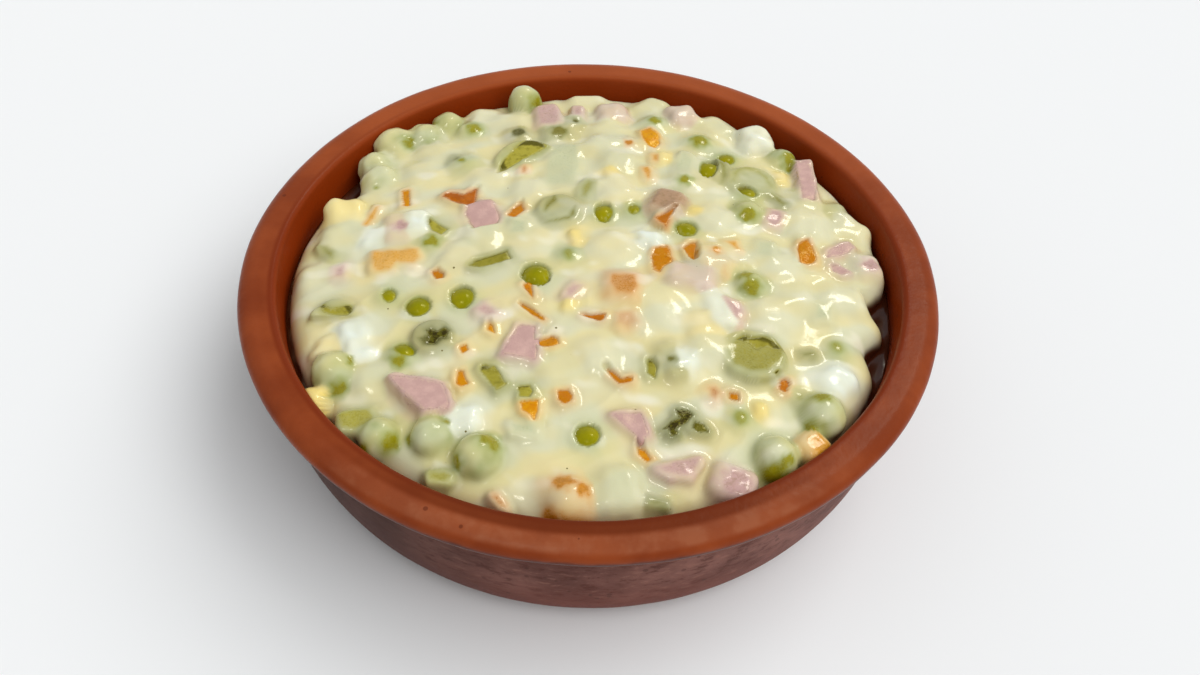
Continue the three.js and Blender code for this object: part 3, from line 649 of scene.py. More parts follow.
def smooth_step(low, high, value):
    """0 below low, 1 above high, and an S-shaped rise between."""
    share = np.clip((value - low) / (high - low), 0, 1)
    return share * share * (3 - 2 * share)


def soft_least(first, second, blend):
    """The lesser of two distances, rounded off over a blend length where they meet."""
    share = np.maximum(blend - np.abs(first - second), 0) / blend
    return np.minimum(first, second) - share * share * blend / 4


def soft_most(first, second, blend):
    """The greater of two distances, rounded off over a blend length where they meet."""
    return -soft_least(-first, -second, blend)


# Bowl and heap in section

def superellipse(outer, top, inner, low, steps):
    """Radii and heights of a quarter of a superellipse, from (outer, top) to (inner, low)."""
    angle = np.linspace(0, np.pi / 2, steps + 1)
    across = np.maximum(np.cos(angle), 0) ** (2 / WALL_ROUNDNESS)
    down = np.sin(angle) ** (2 / WALL_ROUNDNESS)
    return np.stack([inner + (outer - inner) * across, top - (top - low) * down], 1)


def arc(radius, height, across, up, start, end, steps):
    """Radii and heights of an elliptical arc about (radius, height), by angles in degrees."""
    angle = np.radians(np.linspace(start, end, steps + 1))
    return np.stack([radius + across * np.cos(angle), height + up * np.sin(angle)], 1)


WALL_TOP = BOWL_HEIGHT - RIM_DEPTH
MOUTH = RIM_MOUTH_RADIUS - MOUTH_SETBACK
FLOOR_RADIUS = BASE_RADIUS - WALL_THICKNESS


def inner_radius(height):
    """Radius of the bowl's hollow at each height: the superellipse up to the wall's top, then a
    straight run out to the mouth."""
    depth = np.clip((WALL_TOP - height) / (WALL_TOP - FLOOR_THICKNESS), 0, 1)
    round_part = (1 - depth ** WALL_ROUNDNESS) ** (1 / WALL_ROUNDNESS)
    upper = np.interp(height, [WALL_TOP, BOWL_HEIGHT - LIP_DROP], [MOUTH, RIM_MOUTH_RADIUS])
    return np.where(height < WALL_TOP, FLOOR_RADIUS + (MOUTH - FLOOR_RADIUS) * round_part, upper)


def heap_edge(bearing):
    """How far the heap reaches at each bearing in degrees: its edge less a bell-shaped dip at
    each hollow."""
    reach = np.full(np.shape(bearing), HEAP_EDGE)
    for centre, depth, width in HOLLOWS:
        turn = np.mod(bearing - centre + 540, 360) - 180
        reach = reach - depth * np.exp(-((turn / width) ** 2))
    return reach


def dressing_level(radius):
    """Height of the dressing: a dome that falls by a power of the distance from the axis."""
    share = np.minimum(radius, SHOULDER_RADIUS) / SHOULDER_RADIUS
    return BOWL_HEIGHT + CROWN_RISE - SHOULDER_DROP * share ** DOME_POWER


# Pieces of the salad

def turn_matrix(turn, tilt_x, tilt_y):
    """Rotation that tilts about X, then about Y, and then turns about Z, in degrees."""
    turned = Matrix.Rotation(math.radians(turn), 3, "Z")
    turned = turned @ Matrix.Rotation(math.radians(tilt_y), 3, "Y")
    turned = turned @ Matrix.Rotation(math.radians(tilt_x), 3, "X")
    return np.array(turned)


def make_piece(kind, form, place, half, angles, stand, tone, seed):
    """One piece: its form and half sizes, and where its middle is. A ball that stands well out is
    seen whole, so its place is its middle's, and other places are those of the piece's top."""
    x, y = place
    lump = stand > LUMP_STAND
    y -= SIGHT_RUN * (stand - half[2] if form == "ball" and lump else stand)
    top = dressing_level(math.hypot(x, y)) + stand
    return {
        "kind": kind,
        "form": form,
        "pillow": True,
        "stand": stand,
        "seen_at": np.array(place),
        "middle": np.array([x, y, top - half[2]]),
        "half": np.array(half, float),
        "turn": turn_matrix(*angles),
        "patches": [],
        "windows": [],
        "cut": None,
        "thin_spots": [],
        "cover": 0,
        "veil": 0,
        "blend": (BALL_BLEND if form == "ball" else TIGHT_BLEND) if lump else LOOSE_BLEND,
        "tone": tone,
        "seed": seed,
    }


def outline_of_cap(x, y, width, length, turn):
    """Corners round an ellipse."""
    angle = np.linspace(0, 2 * np.pi, CAP_CORNERS, endpoint=False)
    bearing = math.radians(turn)
    across = width / 2 * np.cos(angle)
    along = length / 2 * np.sin(angle)
    return np.stack([x + across * math.cos(bearing) - along * math.sin(bearing),
                     y + across * math.sin(bearing) + along * math.cos(bearing)], 1)


def least_box(outline, margin):
    """The least rectangle that holds an outline, plus a margin: its middle, half sizes and turn
    in degrees. The turns tried are 5 degrees apart."""
    best = None
    for turn in range(0, 90, 5):
        across = np.array([math.cos(math.radians(turn)), math.sin(math.radians(turn))])
        frame_axes = np.stack([across, (-across[1], across[0])], 1)
        spans = outline @ frame_axes
        low, high = spans.min(0), spans.max(0)
        area = np.prod(high - low)
        if best is None or area < best[0]:
            best = area, frame_axes @ (low + high) / 2, (high - low) / 2 + margin, turn
    return best[1:]


def nearest(pieces, x, y):
    """The piece that is seen nearest to a place, counted in its own sizes."""
    return min(pieces, key=lambda piece: math.hypot(*(piece["seen_at"] - (x, y)))
               / piece["half"][:2].mean())


def potato_places(taken):
    """Places for the dressed potato: a seeded draw over the disc keeps each one clear of the
    pieces already there, and inside the heap's edge."""
    draw = make_draws(POTATO_SEED)

    def between(limits):
        """A drawn number between two limits."""
        return limits[0] + (limits[1] - limits[0]) * draw()

    found = []
    for _ in range(POTATO_TRIES):
        bearing = draw() * 360
        radius = HEAP_EDGE * math.sqrt(draw())
        width = between(POTATO_SIZES)
        length = between(POTATO_SIZES)
        turn = draw() * 360
        stand = between(POTATO_STANDS)
        x = radius * math.cos(math.radians(bearing))
        y = radius * math.sin(math.radians(bearing))
        reach = (width + length) / 4
        clear = all(math.hypot(px - x, py - y) > POTATO_CROWDING * (reach + size / 2)
                    for px, py, size in taken)
        if clear and radius + reach < heap_edge(bearing):
            found.append((x, y, width, length, turn, stand))
            taken.append((x, y, reach * 2))
    return found


def open_up(piece, outline, veil):
    """Gives a piece a bare patch or, under a heavier veil, a window in its film. The outline is
    moved from the dressing's level to where it is seen on the piece."""
    seen = np.array(outline) - (0, SIGHT_RUN * piece["stand"])
    piece["blend"] = TIGHT_BLEND
    if veil < WINDOW_VEIL:
        piece["patches"] = [seen]
        piece["veil"] = veil
        piece["pillow"] = False
    else:
        piece["windows"].append((seen, veil))


def die_half(half_width, half_length):
    """Half sizes of a die or a stick: its depth goes by the lesser of its width and length."""
    depth = DICE_DEPTH_SHARE * max(min(half_width, half_length), STICK_DEPTH / 2)
    return half_width, half_length, depth


def thin_out(pieces):
    """Puts each thin spot of the dressing on the piece that is seen nearest to its place."""
    for x, y, bearing, elevation, width in THIN_SPOTS:
        owner = nearest(pieces, x, y)
        flat = math.cos(math.radians(elevation))
        way = np.array([flat * math.cos(math.radians(bearing)),
                        flat * math.sin(math.radians(bearing)), math.sin(math.radians(elevation))])
        owner["thin_spots"].append((owner["middle"] + (owner["half"] + COAT) * way, width))


def all_pieces():
    """Every piece of the salad, in the order in which the tilts are drawn."""
    draw = make_draws(TILT_SEED)
    made = []

    def put(kind, form, row, half, tone, angles=None):
        """One more piece. The row gives its place, turn and stand, and two tilts are drawn for it
        unless all its angles are given."""
        x, y, turn, stand = row
        if angles is None:
            angles = (turn, *(DICE_TILT * (2 * draw() - 1) for _ in range(2)))
        made.append(make_piece(kind, form, (x, y), half, angles, stand, tone, len(made)))
        return made[-1]

    for x, y, diameter, stand, *cover in PEAS:
        angles = (0, x * PEA_TILT[0], y * PEA_TILT[1])
        pea = put("peas", "ball", (x, y, 0, stand), (diameter / 2,) * 3, 0, angles)
        if cover:
            pea["cover"] = cover[0]
            pea["blend"] += COVER_BLEND * cover[0]
    for kind, rows in BARE_CUTS.items():
        for listed_stand, tone, veil, outline in rows:
            stand = listed_stand - BARE_SINK
            middle, half, turn = least_box(np.array(outline), DIE_MARGIN)
            die = put(kind, "block", (*middle, turn, stand), die_half(*half), tone)
            flat = np.array(outline) - (0, SIGHT_RUN * stand) - die["middle"][:2]
            die["cut"] = flat @ die["turn"][:2, :2]
            open_up(die, outline, veil)
    for kind, x, y, width, length, turn, stand, tone, *form in COATED_DICE:
        put(kind, form[0] if form else "block", (x, y, turn, stand),
            die_half(width / 2, length / 2), tone)
    for x, y, diameter, turn, share, stand, dark, rows in GHERKIN_SLICES:
        half = (diameter / 2, diameter / 2, SLICE_THICKNESS / 2)
        form = "disc" if share == 1 else "half_disc"
        piece = put("gherkins", form, (x, y, turn, stand), half, dark)
        for veil, outline in rows:
            open_up(piece, outline, veil)
    for x, y, width, length, turn, stand, tone in EGG:
        half = (width / 2, length / 2, min(width, length) / 2)
        form = "block" if tone < YOLK_TONE else "lump"
        piece = put("egg", form, (x, y, turn, stand), half, tone)
        piece["pillow"] = False
        piece["blend"] = TIGHT_BLEND
    peas = made[:len(PEAS)]
    for *cap, veil in PEA_CAPS:
        open_up(nearest(peas, *cap[:2]), outline_of_cap(*cap), veil)
    thin_out(made)
    taken = [(*piece["seen_at"], 2 * piece["half"][:2].mean()) for piece in made]
    for x, y, width, length, turn, stand in potato_places(taken):
        stand -= POTATO_SINK * (1 - (math.hypot(x, y) / HEAP_EDGE) ** 2)
        half = (width / 2, length / 2, min(width, length) / 2)
        put("potato", "lump", (x, y, turn, stand), half, draw())
    return made


# Distances

def block_distance(local, half, corner):
    """Distance to a box with rounded edges: the distance to a smaller box, less the rounding."""
    over = np.abs(local) - (half - corner)
    outside = np.linalg.norm(np.maximum(over, 0), axis=-1)
    return outside + np.minimum(over.max(-1), 0) - corner


def disc_distance(local, half, corner):
    """Distance to a round slice with rounded edges, from its radius and its thickness."""
    radial = np.hypot(local[..., 0], local[..., 1]) - (half[0] - corner)
    over = np.stack([radial, np.abs(local[..., 2]) - (half[2] - corner)], -1)
    outside = np.linalg.norm(np.maximum(over, 0), axis=-1)
    return outside + np.minimum(over.max(-1), 0) - corner


def unevenness(piece, local):
    """How far a piece's surface swells or sinks from its plain form."""
    form = piece["form"]
    if piece["kind"] == "egg":
        form = "white" if piece["tone"] < YOLK_TONE else "yolk"
    depth, length, count = UNEVENNESS[form]
    return depth * waves(local, length, piece["seed"], count)


def piece_distance(piece, points):
    """Distance from points to a piece's own surface, with a slight unevenness of its own."""
    local = (points - piece["middle"]) @ piece["turn"]
    half = piece["half"]
    least = half.min()
    form = piece["form"]
    if form == "ball":
        plain = np.linalg.norm(local, axis=-1) - half[0]
    elif form == "oval":
        plain = (np.linalg.norm(local / half, axis=-1) - 1) * least
    elif form == "lump":
        plain = block_distance(local, half, least * LUMP_ROUNDING)
    elif form == "block":
        rounding = BLOCK_ROUNDING if piece["pillow"] else BARE_ROUNDING
        if piece["kind"] == "egg":
            rounding = EGG_ROUNDING
        plain = block_distance(local, half, least * rounding)
        if piece["cut"] is not None:
            side = outline_distance(piece["cut"], local[..., :2]) - DIE_MARGIN
            plain = soft_most(plain, side, DIE_CORNER)
    else:
        plain = disc_distance(local, half, least * DISC_ROUNDING)
    if form == "half_disc":
        plain = soft_most(plain, -local[..., 1], HALF_DISC_CORNER)
    return plain + unevenness(piece, local)


def room_distance(piece, points, own, edge):
    """Distance into the room over a piece's bare patches, greater than 0 inside it. The room's
    floor lies a little under the piece's surface, and slopes up and out of it past the edge."""
    slope = EDGE_SLOPE[piece["kind"]]
    past = np.maximum(edge + SUNK / slope, 0)
    rise = slope * past + EDGE_CURVE * past ** 2
    if piece["form"] == "ball":
        return np.minimum(own + SUNK - rise, BALL_LIP - edge)
    local = (points - piece["middle"]) @ piece["turn"]
    above = local[:, 2] - piece["half"][2] + unevenness(piece, local)
    return (above + SUNK - rise) / math.hypot(1, slope)


def heap_distance(points):
    """Distance to the heap without its pieces: under the dome with its roll, folds and ridges, and
    inside an edge that leans out a little on its way down. A fold or a ridge runs where a wave
    crosses nought."""
    radius = np.hypot(points[..., 0], points[..., 1])
    bearing = np.degrees(np.arctan2(points[..., 1], points[..., 0]))
    plan = points[..., :2]
    folds = 1 - np.minimum(np.abs(summed_waves(plan, FOLD_WAVES)), 1)
    roll = summed_waves(plan, ROLL_WAVES) + FOLDS * (folds ** 2 - 0.5)
    ridges = 1 - np.minimum(np.abs(summed_waves(plan, RIDGE_WAVES)), 1)
    roll += RIDGES * ridges ** 3 * smooth_step(*RIDGE_RANGE, summed_waves(plan, RIDGE_PLACES))
    above = (points[..., 2] - dressing_level(radius) - POOLING - roll) * DOME_COSINE
    down = BOWL_HEIGHT + CROWN_RISE - SHOULDER_DROP - points[..., 2]
    beyond = (radius - heap_edge(bearing) - EDGE_LEAN * down) * EDGE_COSINE
    return soft_most(above, beyond, SHOULDER_BLEND)


def outline_distance(outline, flat):
    """Distance in plan to a closed outline, less than 0 inside: the least distance to its sides,
    and the sign from how often the sides are crossed on the way out to the right."""
    least = np.full(len(flat), FAR)
    inside = np.zeros(len(flat), bool)
    for start, end in zip(outline, np.roll(outline, -1, 0)):
        side = end - start
        gap = flat - start
        share = np.clip(gap @ side / (side @ side), 0, 1)
        least = np.minimum(least, np.linalg.norm(gap - share[:, None] * side, axis=1))
        level = (start[1] > flat[:, 1]) != (end[1] > flat[:, 1])
        slant = side[0] / (side[1] or TINY)
        inside ^= level & (flat[:, 0] < start[0] + (flat[:, 1] - start[1]) * slant)
    return np.where(inside, -least, least)


def patch_distance(piece, outlines, points):
    """Distance in plan to the nearest of a piece's bare patches or windows, less than 0 inside
    one, with a ragged edge."""
    flat = points[:, :2]
    ragged = ROUND_RAGGED if piece["form"] == "ball" else RAGGED
    broad = waves(flat, RAGGED_LENGTHS[0], piece["seed"])
    fine = waves(points, RAGGED_LENGTHS[1], RAGGED_SEED)
    nearest_edge = np.min([outline_distance(outline, flat) for outline in outlines], axis=0)
    return ragged * (broad + FINE_RAGGED * fine) + nearest_edge


def skin_distance(points, pieces, near, cut=True):
    """Distance to the dressing's surface: the heap and every coated piece, run together softly,
    less the room over the bare patches, whose edge slopes up from the piece. near gives the rows
    that each piece can touch."""
    total = heap_distance(points)
    rooms = []
    for piece, rows in zip(pieces, near):
        own = piece_distance(piece, points[rows])
        coat = COAT + piece["cover"]
        if piece["form"] == "ball":
            broad = waves(points[rows], COAT_LENGTHS[0], piece["seed"] + COAT_SEED, COAT_WAVE_COUNT)
            fine = waves(points[rows], COAT_LENGTHS[1], COAT_SEED + 1, COAT_WAVE_COUNT)
            coat *= 1 + COAT_WAVER * (broad + 0.5 * fine)
        if piece["patches"]:
            edge = patch_distance(piece, piece["patches"], points[rows])
            coat *= smooth_step(*THINNING, edge)
            rooms.append((rows, room_distance(piece, points[rows], own, edge)))
        total[rows] = soft_least(total[rows], own - coat, piece["blend"])
    total += summed_waves(points, FINE_WAVES)
    for rows, room in rooms if cut else []:
        total[rows] = soft_most(total[rows], room, MENISCUS)
    return total


# Dressing

def disc_grid(cells):
    """Radius share and bearing of an even square grid laid over a disc: each square ring of the
    grid becomes a circle."""
    line = np.linspace(-1, 1, cells + 1)
    across, along = np.meshgrid(line, line)
    sideways = np.abs(across) > np.abs(along)
    reach = np.where(sideways, across, along)
    other = np.where(sideways, along, across)
    share = other / np.where(reach == 0, 1, reach)
    bearing = np.where(sideways, np.pi / 4 * share, np.pi / 2 - np.pi / 4 * share)
    bearing = np.where(reach < 0, bearing + np.pi, bearing)
    return np.abs(reach).ravel(), bearing.ravel()


# Where the skin's rays start from: radius, depth below the crown's level, and lean outwards.
SKIN_OUTLINE = [
    (0, 0, 0),
    (30, 0.6, 2),
    (55, 2.9, 6),
    (68, 5.0, 12),
    (73.5, 6.4, 26),
    (76.6, 8.4, 44),
    (78.6, 10.8, 56),
    (80, 13.6, 62),
]


def skin_rays(cells):
    """Starting points and directions of the dressing's rays, spread evenly along the outline."""
    share, bearing = disc_grid(cells)
    outline = np.array(SKIN_OUTLINE, float)
    run = np.hypot(np.diff(outline[:, 0]), np.diff(outline[:, 1]))
    along = np.concatenate([[0], np.cumsum(run)])
    at = share * along[-1]
    radius = np.interp(at, along, outline[:, 0])
    height = BOWL_HEIGHT + CROWN_RISE - np.interp(at, along, outline[:, 1])
    lean = np.radians(np.interp(at, along, outline[:, 2]))
    flat = np.stack([np.cos(bearing), np.sin(bearing)], 1)
    base = np.column_stack([flat * radius[:, None], height])
    way = np.column_stack([flat * np.sin(lean)[:, None], np.cos(lean)])
    return base, way, share


def rows_near(base, way, piece, margin):
    """Rows whose ray passes within a piece's reach plus a margin."""
    reach = np.linalg.norm(piece["half"]) + margin
    gap = piece["middle"] - base
    along = (gap * way).sum(1, keepdims=True)
    return np.nonzero(np.linalg.norm(gap - along * way, axis=1) < reach)[0]


def skin_surface(pieces):
    """The dressing's surface points: from outside, each ray walks inwards by the distance to the
    surface until it arrives. The last ring is held down to the bowl's wall."""
    base, way, share = skin_rays(SKIN_CELLS)
    near = [rows_near(base, way, piece, RAY_MARGIN) for piece in pieces]
    travel = np.full(len(base), SKIN_START)
    for _ in range(SKIN_STEPS):
        points = base + way * travel[:, None]
        gap = skin_distance(points, pieces, near)
        travel = np.clip(travel - gap * SKIN_STRIDE, SKIN_START - SKIN_REACH, SKIN_START)
    points = base + way * travel[:, None]
    hold = smooth_step(HELD_FROM, 1.0, share)[:, None]
    points = points * (1 - hold) + base * hold
    radius = np.maximum(np.hypot(points[:, 0], points[:, 1]), TINY)
    limit = inner_radius(points[:, 2]) + WALL_OVERLAP
    squeeze = np.where((radius > limit) & (points[:, 2] < BOWL_HEIGHT), limit / radius, 1)
    points[:, :2] *= squeeze[:, None]
    return points, near


def closed_in(points, pieces, near):
    """How closed in each surface point is, from 0 in the open to 1 in a deep crease, which sets the
    painted shade there: at a height h over open surface the distance is h, and in a crease it is
    less."""
    here = skin_distance(points, pieces, near, cut=False)
    slope = np.stack([skin_distance(points + CREASE_STEP * axis, pieces, near, cut=False) - here
                      for axis in np.eye(3)], 1)
    slope /= np.maximum(np.linalg.norm(slope, axis=1, keepdims=True), TINY)
    total = np.zeros(len(points))
    for height in CREASE_HEIGHTS:
        over = skin_distance(points + slope * height, pieces, near, cut=False)
        total += np.clip(1 - over / height, 0, 1) / len(CREASE_HEIGHTS)
    return total


def films_over(piece, spots):
    """Thickness of the dressing over a piece at each spot, read in three ways: as the surfaces
    lie; uneven, and thinner on a ball's sides; and thinned by thin spots and windows."""
    thickness = np.maximum(piece_distance(piece, spots), 0)
    thin = thickness
    for spot, width in piece["thin_spots"]:
        away = np.linalg.norm(spots - spot, axis=1) + summed_waves(spots, SPOT_WAVES)
        thin = thin * smooth_step(SPOT_EDGE[0] * width, SPOT_EDGE[1] * width, away)
    for outline, veil in piece["windows"]:
        left = WINDOW_FILM * veil
        soft = WINDOW_EDGE[0] + (WINDOW_EDGE[1] - WINDOW_EDGE[0]) * veil
        edge = smooth_step(-soft, soft, patch_distance(piece, [outline], spots))
        thin = thin * (left + (1 - left) * edge)
    uneven = thickness + summed_waves(spots, FILM_WAVES) + FILM_EXTRA
    uneven = np.minimum(np.maximum(uneven, 0), thin)
    if piece["form"] == "ball":
        lift = (spots[:, 2] - piece["middle"][2]) / piece["half"][2]
        uneven = uneven * (SIDE_FILM + (1 - SIDE_FILM) * smooth_step(0, 1, lift))
    return thickness, uneven, thin


def tints_of(piece):
    """A piece's colour under a film of dressing, and its own colour, by its tone."""
    tone = piece["tone"]
    return [np.array(ends[0][:3]) * (1 - tone) + np.array(ends[1][:3]) * tone
            for ends in (FILM[piece["kind"]], FLESH[piece["kind"]])]


def open_dressing(points):
    """The dressing's own colour at each point, with cool places and thick pale ones."""
    colour = np.tile(np.array(DRESSING_COLOUR[:3]), (len(points), 1))
    for tint, rows, limits in ((PALE_DRESSING, PALE_WAVES, PALE_RANGE),
                               (THICK_DRESSING, THICK_WAVES, THICK_RANGE)):
        share = smooth_step(*limits, summed_waves(points[:, :2], rows))
        colour += (np.array(tint[:3]) - colour) * share[:, None]
    return colour


def through_film(pieces, points, near):
    """Colour of the dressing at each point, the own colour of the piece under it, and how near to
    bare it is there. A piece shows through in three layers: a wide faint one, a broad one, and one
    so thin that the piece keeps its own colour. Each falls off with the film's thickness, the
    piece that shows most decides the tint, and creases get painted shade. Low down by the wall,
    clay shows through a smear, painted darker as shade in the gap."""
    colour = open_dressing(points)
    hidden = np.ones(len(points))
    pull_sum = np.full(len(points), TINY)
    tint_sum = np.zeros((len(points), 3))
    flesh = np.tile(np.array(DRESSING_COLOUR[:3]) * TINY, (len(points), 1))
    flesh_sum = np.full(len(points), TINY)
    thinnest = np.zeros(len(points))
    for piece, rows in zip(pieces, near):
        layers = [GLOW_FILM[piece["kind"]], BROAD_FILM[piece["kind"]], THIN_FILM]
        shown = [share * np.exp(-film / depth)
                 for (share, depth), film in zip(layers, films_over(piece, points[rows]))]
        under, own = tints_of(piece)
        tint = under + (own - under) * shown[2][:, None]
        clear = (1 - shown[0]) * (1 - shown[1]) * (1 - shown[2])
        pull = (1 - clear) ** TINT_POWER
        hidden[rows] *= clear
        pull_sum[rows] += pull
        tint_sum[rows] += tint * pull[:, None]
        flesh[rows] += own * shown[2][:, None] ** FLESH_POWER
        flesh_sum[rows] += shown[2] ** FLESH_POWER
        thinnest[rows] = np.maximum(thinnest[rows], shown[2])
    colour += (tint_sum / pull_sum[:, None] - colour) * (1 - hidden)[:, None]
    depth = dressing_level(np.hypot(points[:, 0], points[:, 1])) - points[:, 2]
    # Clay seen through a smear by the wall, painted darker as shade in the gap.
    smear_and_shade = smooth_step(*SMEAR_DEPTHS, depth + summed_waves(points, SMEAR_WAVES))
    colour += (np.array(CLAY_SMEAR_AND_SHADE[:3]) - colour) * smear_and_shade[:, None]
    # Painted shade in creases.
    shade = 1 - closed_in(points, pieces, near)[:, None] * np.array(CREASE_SHADE)
    return colour * shade, flesh / flesh_sum[:, None] * shade, thinnest * (1 - smear_and_shade)


def border_loop(cells):
    """Indices of a square grid's border, once round and anticlockwise."""
    side = cells + 1
    bottom = np.arange(cells)
    right = np.arange(cells) * side + cells
    top = side * side - 1 - np.arange(cells)
    left = (cells - np.arange(cells)) * side
    return np.concatenate([bottom, right, top, left])


def dressing_mesh(pieces):
    """The dressed salad as one closed body: the surface on top, then rings down the bowl's inside
    to a flat bottom."""
    points, near = skin_surface(pieces)
    cells = SKIN_CELLS
    side = cells + 1
    corner = (np.arange(cells)[:, None] * side + np.arange(cells)[None]).ravel()
    faces = np.stack([corner, corner + 1, corner + 1 + side, corner + side], 1)
    loop = border_loop(cells)
    heights = np.linspace(points[loop, 2].mean() - CORE_START, FLOOR_THICKNESS + CORE_FLOOR_GAP,
                          CORE_RINGS)
    bearing = np.arctan2(points[loop, 1], points[loop, 0])
    rings = []
    for height in heights:
        radius = float(inner_radius(np.array(height))) - CORE_WALL_GAP
        ring = np.stack([radius * np.cos(bearing), radius * np.sin(bearing),
                         np.full(len(loop), height)], 1)
        rings.append(ring)
    colour, flesh, thinnest = through_film(pieces, points, near)
    extra = np.concatenate(rings + [np.array([[0, 0, heights[-1]]])])
    total = np.concatenate([points, extra])
    levels = [loop] + [len(points) + i * len(loop) + np.arange(len(loop))
                       for i in range(CORE_RINGS)]
    for upper, lower in zip(levels, levels[1:]):
        band = np.stack([upper, lower, np.roll(lower, -1), np.roll(upper, -1)], 1)
        faces = np.concatenate([faces, band])
    last = levels[-1]
    hub = np.full(len(last), len(total) - 1)
    fan = np.stack([np.roll(last, -1), last, hub], 1)
    plain = np.tile(np.array(DRESSING_COLOUR[:3]), (len(extra), 1))
    looks = {"film": np.concatenate([colour, plain]), "flesh": np.concatenate([flesh, plain]),
             "thin": np.concatenate([thinnest, np.zeros(len(extra))])}
    return total, [faces, fan], looks


# Meshes

def make_object(name, points, face_sets, material):
    """A Blender mesh object from points in millimetres and arrays of faces."""
    mesh = bpy.data.meshes.new(name)
    loops = np.concatenate([faces.ravel() for faces in face_sets])
    sizes = np.concatenate([np.full(len(faces), faces.shape[1]) for faces in face_sets])
    starts = np.concatenate([[0], np.cumsum(sizes)[:-1]])
    mesh.vertices.add(len(points))
    mesh.vertices.foreach_set("co", (points * MM).astype(np.float32).ravel())
    mesh.loops.add(len(loops))
    mesh.loops.foreach_set("vertex_index", loops.astype(np.int32))
    mesh.polygons.add(len(sizes))
    mesh.polygons.foreach_set("loop_start", starts.astype(np.int32))
    mesh.polygons.foreach_set("loop_total", sizes.astype(np.int32))
    mesh.update(calc_edges=True)
    mesh.validate()
    mesh.polygons.foreach_set("use_smooth", np.ones(len(sizes), bool))
    mesh.materials.append(material)
    made = bpy.data.objects.new(name, mesh)
    bpy.context.scene.collection.objects.link(made)
    return made


def paint(made, name, values):
    """Stores a colour for each vertex, or a number, as an attribute that materials read."""
    if values.ndim == 1:
        layer = made.data.attributes.new(name, "FLOAT", "POINT")
        layer.data.foreach_set("value", values.astype(np.float32))
        return
    layer = made.data.attributes.new(name, "FLOAT_VECTOR", "POINT")
    layer.data.foreach_set("vector", values.astype(np.float32).ravel())


def cube_grid(cells):
    """Points on a cube's surface, from -1 to 1, and its faces: six square grids whose shared
    edges are merged by rounding the points to grid numbers."""
    line = np.arange(cells + 1)
    first, second = np.meshgrid(line, line, indexing="ij")
    spots = []
    faces = []
    for axis in range(3):
        for end in (0, cells):
            grid = np.zeros((cells + 1, cells + 1, 3), int)
            grid[..., axis] = end
            grid[..., (axis + 1) % 3] = first
            grid[..., (axis + 2) % 3] = second
            index = len(spots) * (cells + 1) ** 2 + np.arange((cells + 1) ** 2)
            index = index.reshape(cells + 1, cells + 1)
            quad = np.stack([index[:-1, :-1], index[1:, :-1], index[1:, 1:], index[:-1, 1:]], -1)
            quad = quad.reshape(-1, 4)
            faces.append(quad if end else quad[:, ::-1])
            spots.append(grid.reshape(-1, 3))
    spots = np.concatenate(spots)
    unique, back = np.unique(spots, axis=0, return_inverse=True)
    return unique * (2 / cells) - 1, back.reshape(-1)[np.concatenate(faces)]


def piece_points(piece, cube):
    """Points of one piece: the cube's points are stretched to its form, and then moved along the
    slope of its distance until they lie on its surface."""
    half = piece["half"]
    form = piece["form"]
    if form in ("ball", "lump"):
        local = cube / np.linalg.norm(cube, axis=1, keepdims=True) * half
    elif form == "block":
        local = cube * half
    else:
        flat = np.abs(cube[:, :2]).max(1)
        length = np.linalg.norm(cube[:, :2], axis=1)
        disc = cube[:, :2] * (flat / np.where(length == 0, 1, length))[:, None]
        if form == "half_disc":
            disc = np.stack([disc[:, 0], (disc[:, 1] + np.sqrt(1 - disc[:, 0] ** 2)) / 2], 1)
        local = np.column_stack([disc, cube[:, 2]]) * half
    points = local @ piece["turn"].T + piece["middle"]
    for _ in range(SETTLE_ROUNDS):
        here = piece_distance(piece, points)
        slope = np.stack([piece_distance(piece, points + SETTLE_STEP * axis) - here
                          for axis in np.eye(3)], 1) / SETTLE_STEP
        slope /= np.maximum(np.linalg.norm(slope, axis=1, keepdims=True), LEAST_SLOPE)
        points = points - slope * here[:, None]
    return points


def rind_share(piece, local):
    """How near to its dark skin each point of a gherkin is: across a stick, or out from a slice's
    middle, and then a little more towards one side."""
    half = piece["half"]
    if piece["form"] == "block":
        return (local[:, 1] / half[1] + 1) / 2
    growth = RIND_GROWTH * smooth_step(-RIND_SPAN, RIND_SPAN, local[:, 1] / half[1])
    return np.hypot(local[:, 0], local[:, 1]) / half[0] * (RIND_SHARE + growth)


def bare_pieces(kind, pieces, material):
    """All pieces of one kind that come out of the dressing, as one joined mesh. Each vertex keeps
    how far it stands out of the dressing, its piece's tone, how cloudy the film on it is, and how
    near it is to the piece's skin."""
    cube, quads = cube_grid(PIECE_CELLS)
    shown = [piece for piece in pieces if piece["kind"] == kind and piece["patches"]]
    settled = [piece_points(piece, cube) for piece in shown]
    faces = np.concatenate([quads + i * len(cube) for i in range(len(shown))])
    points = np.concatenate(settled)
    made = make_object(kind, points, [faces], material)
    up = np.tile(np.array([0.0, 0.0, 1.0]), (len(points), 1))
    near = [rows_near(points, up, piece, POINT_MARGIN) for piece in pieces]
    paint(made, "proud", skin_distance(points, pieces, near))
    tone = []
    veil = []
    rind = []
    for piece, spots in zip(shown, settled):
        inset = np.maximum(VEIL_REACH + patch_distance(piece, piece["patches"], spots), 0)
        tone.append(np.full(len(cube), piece["tone"]))
        veil.append(piece["veil"] * inset / VEIL_REACH)
        rind.append(rind_share(piece, (spots - piece["middle"]) @ piece["turn"]))
    for name, values in (("tone", tone), ("veil", veil), ("rind", rind)):
        paint(made, name, np.concatenate(values))
    return made


# Bowl

def level_run(start, end, height, count):
    """Radii and heights of evenly spaced points on a level run, from one radius to another."""
    return np.stack([np.linspace(start, end, count), np.full(count, height)], 1)


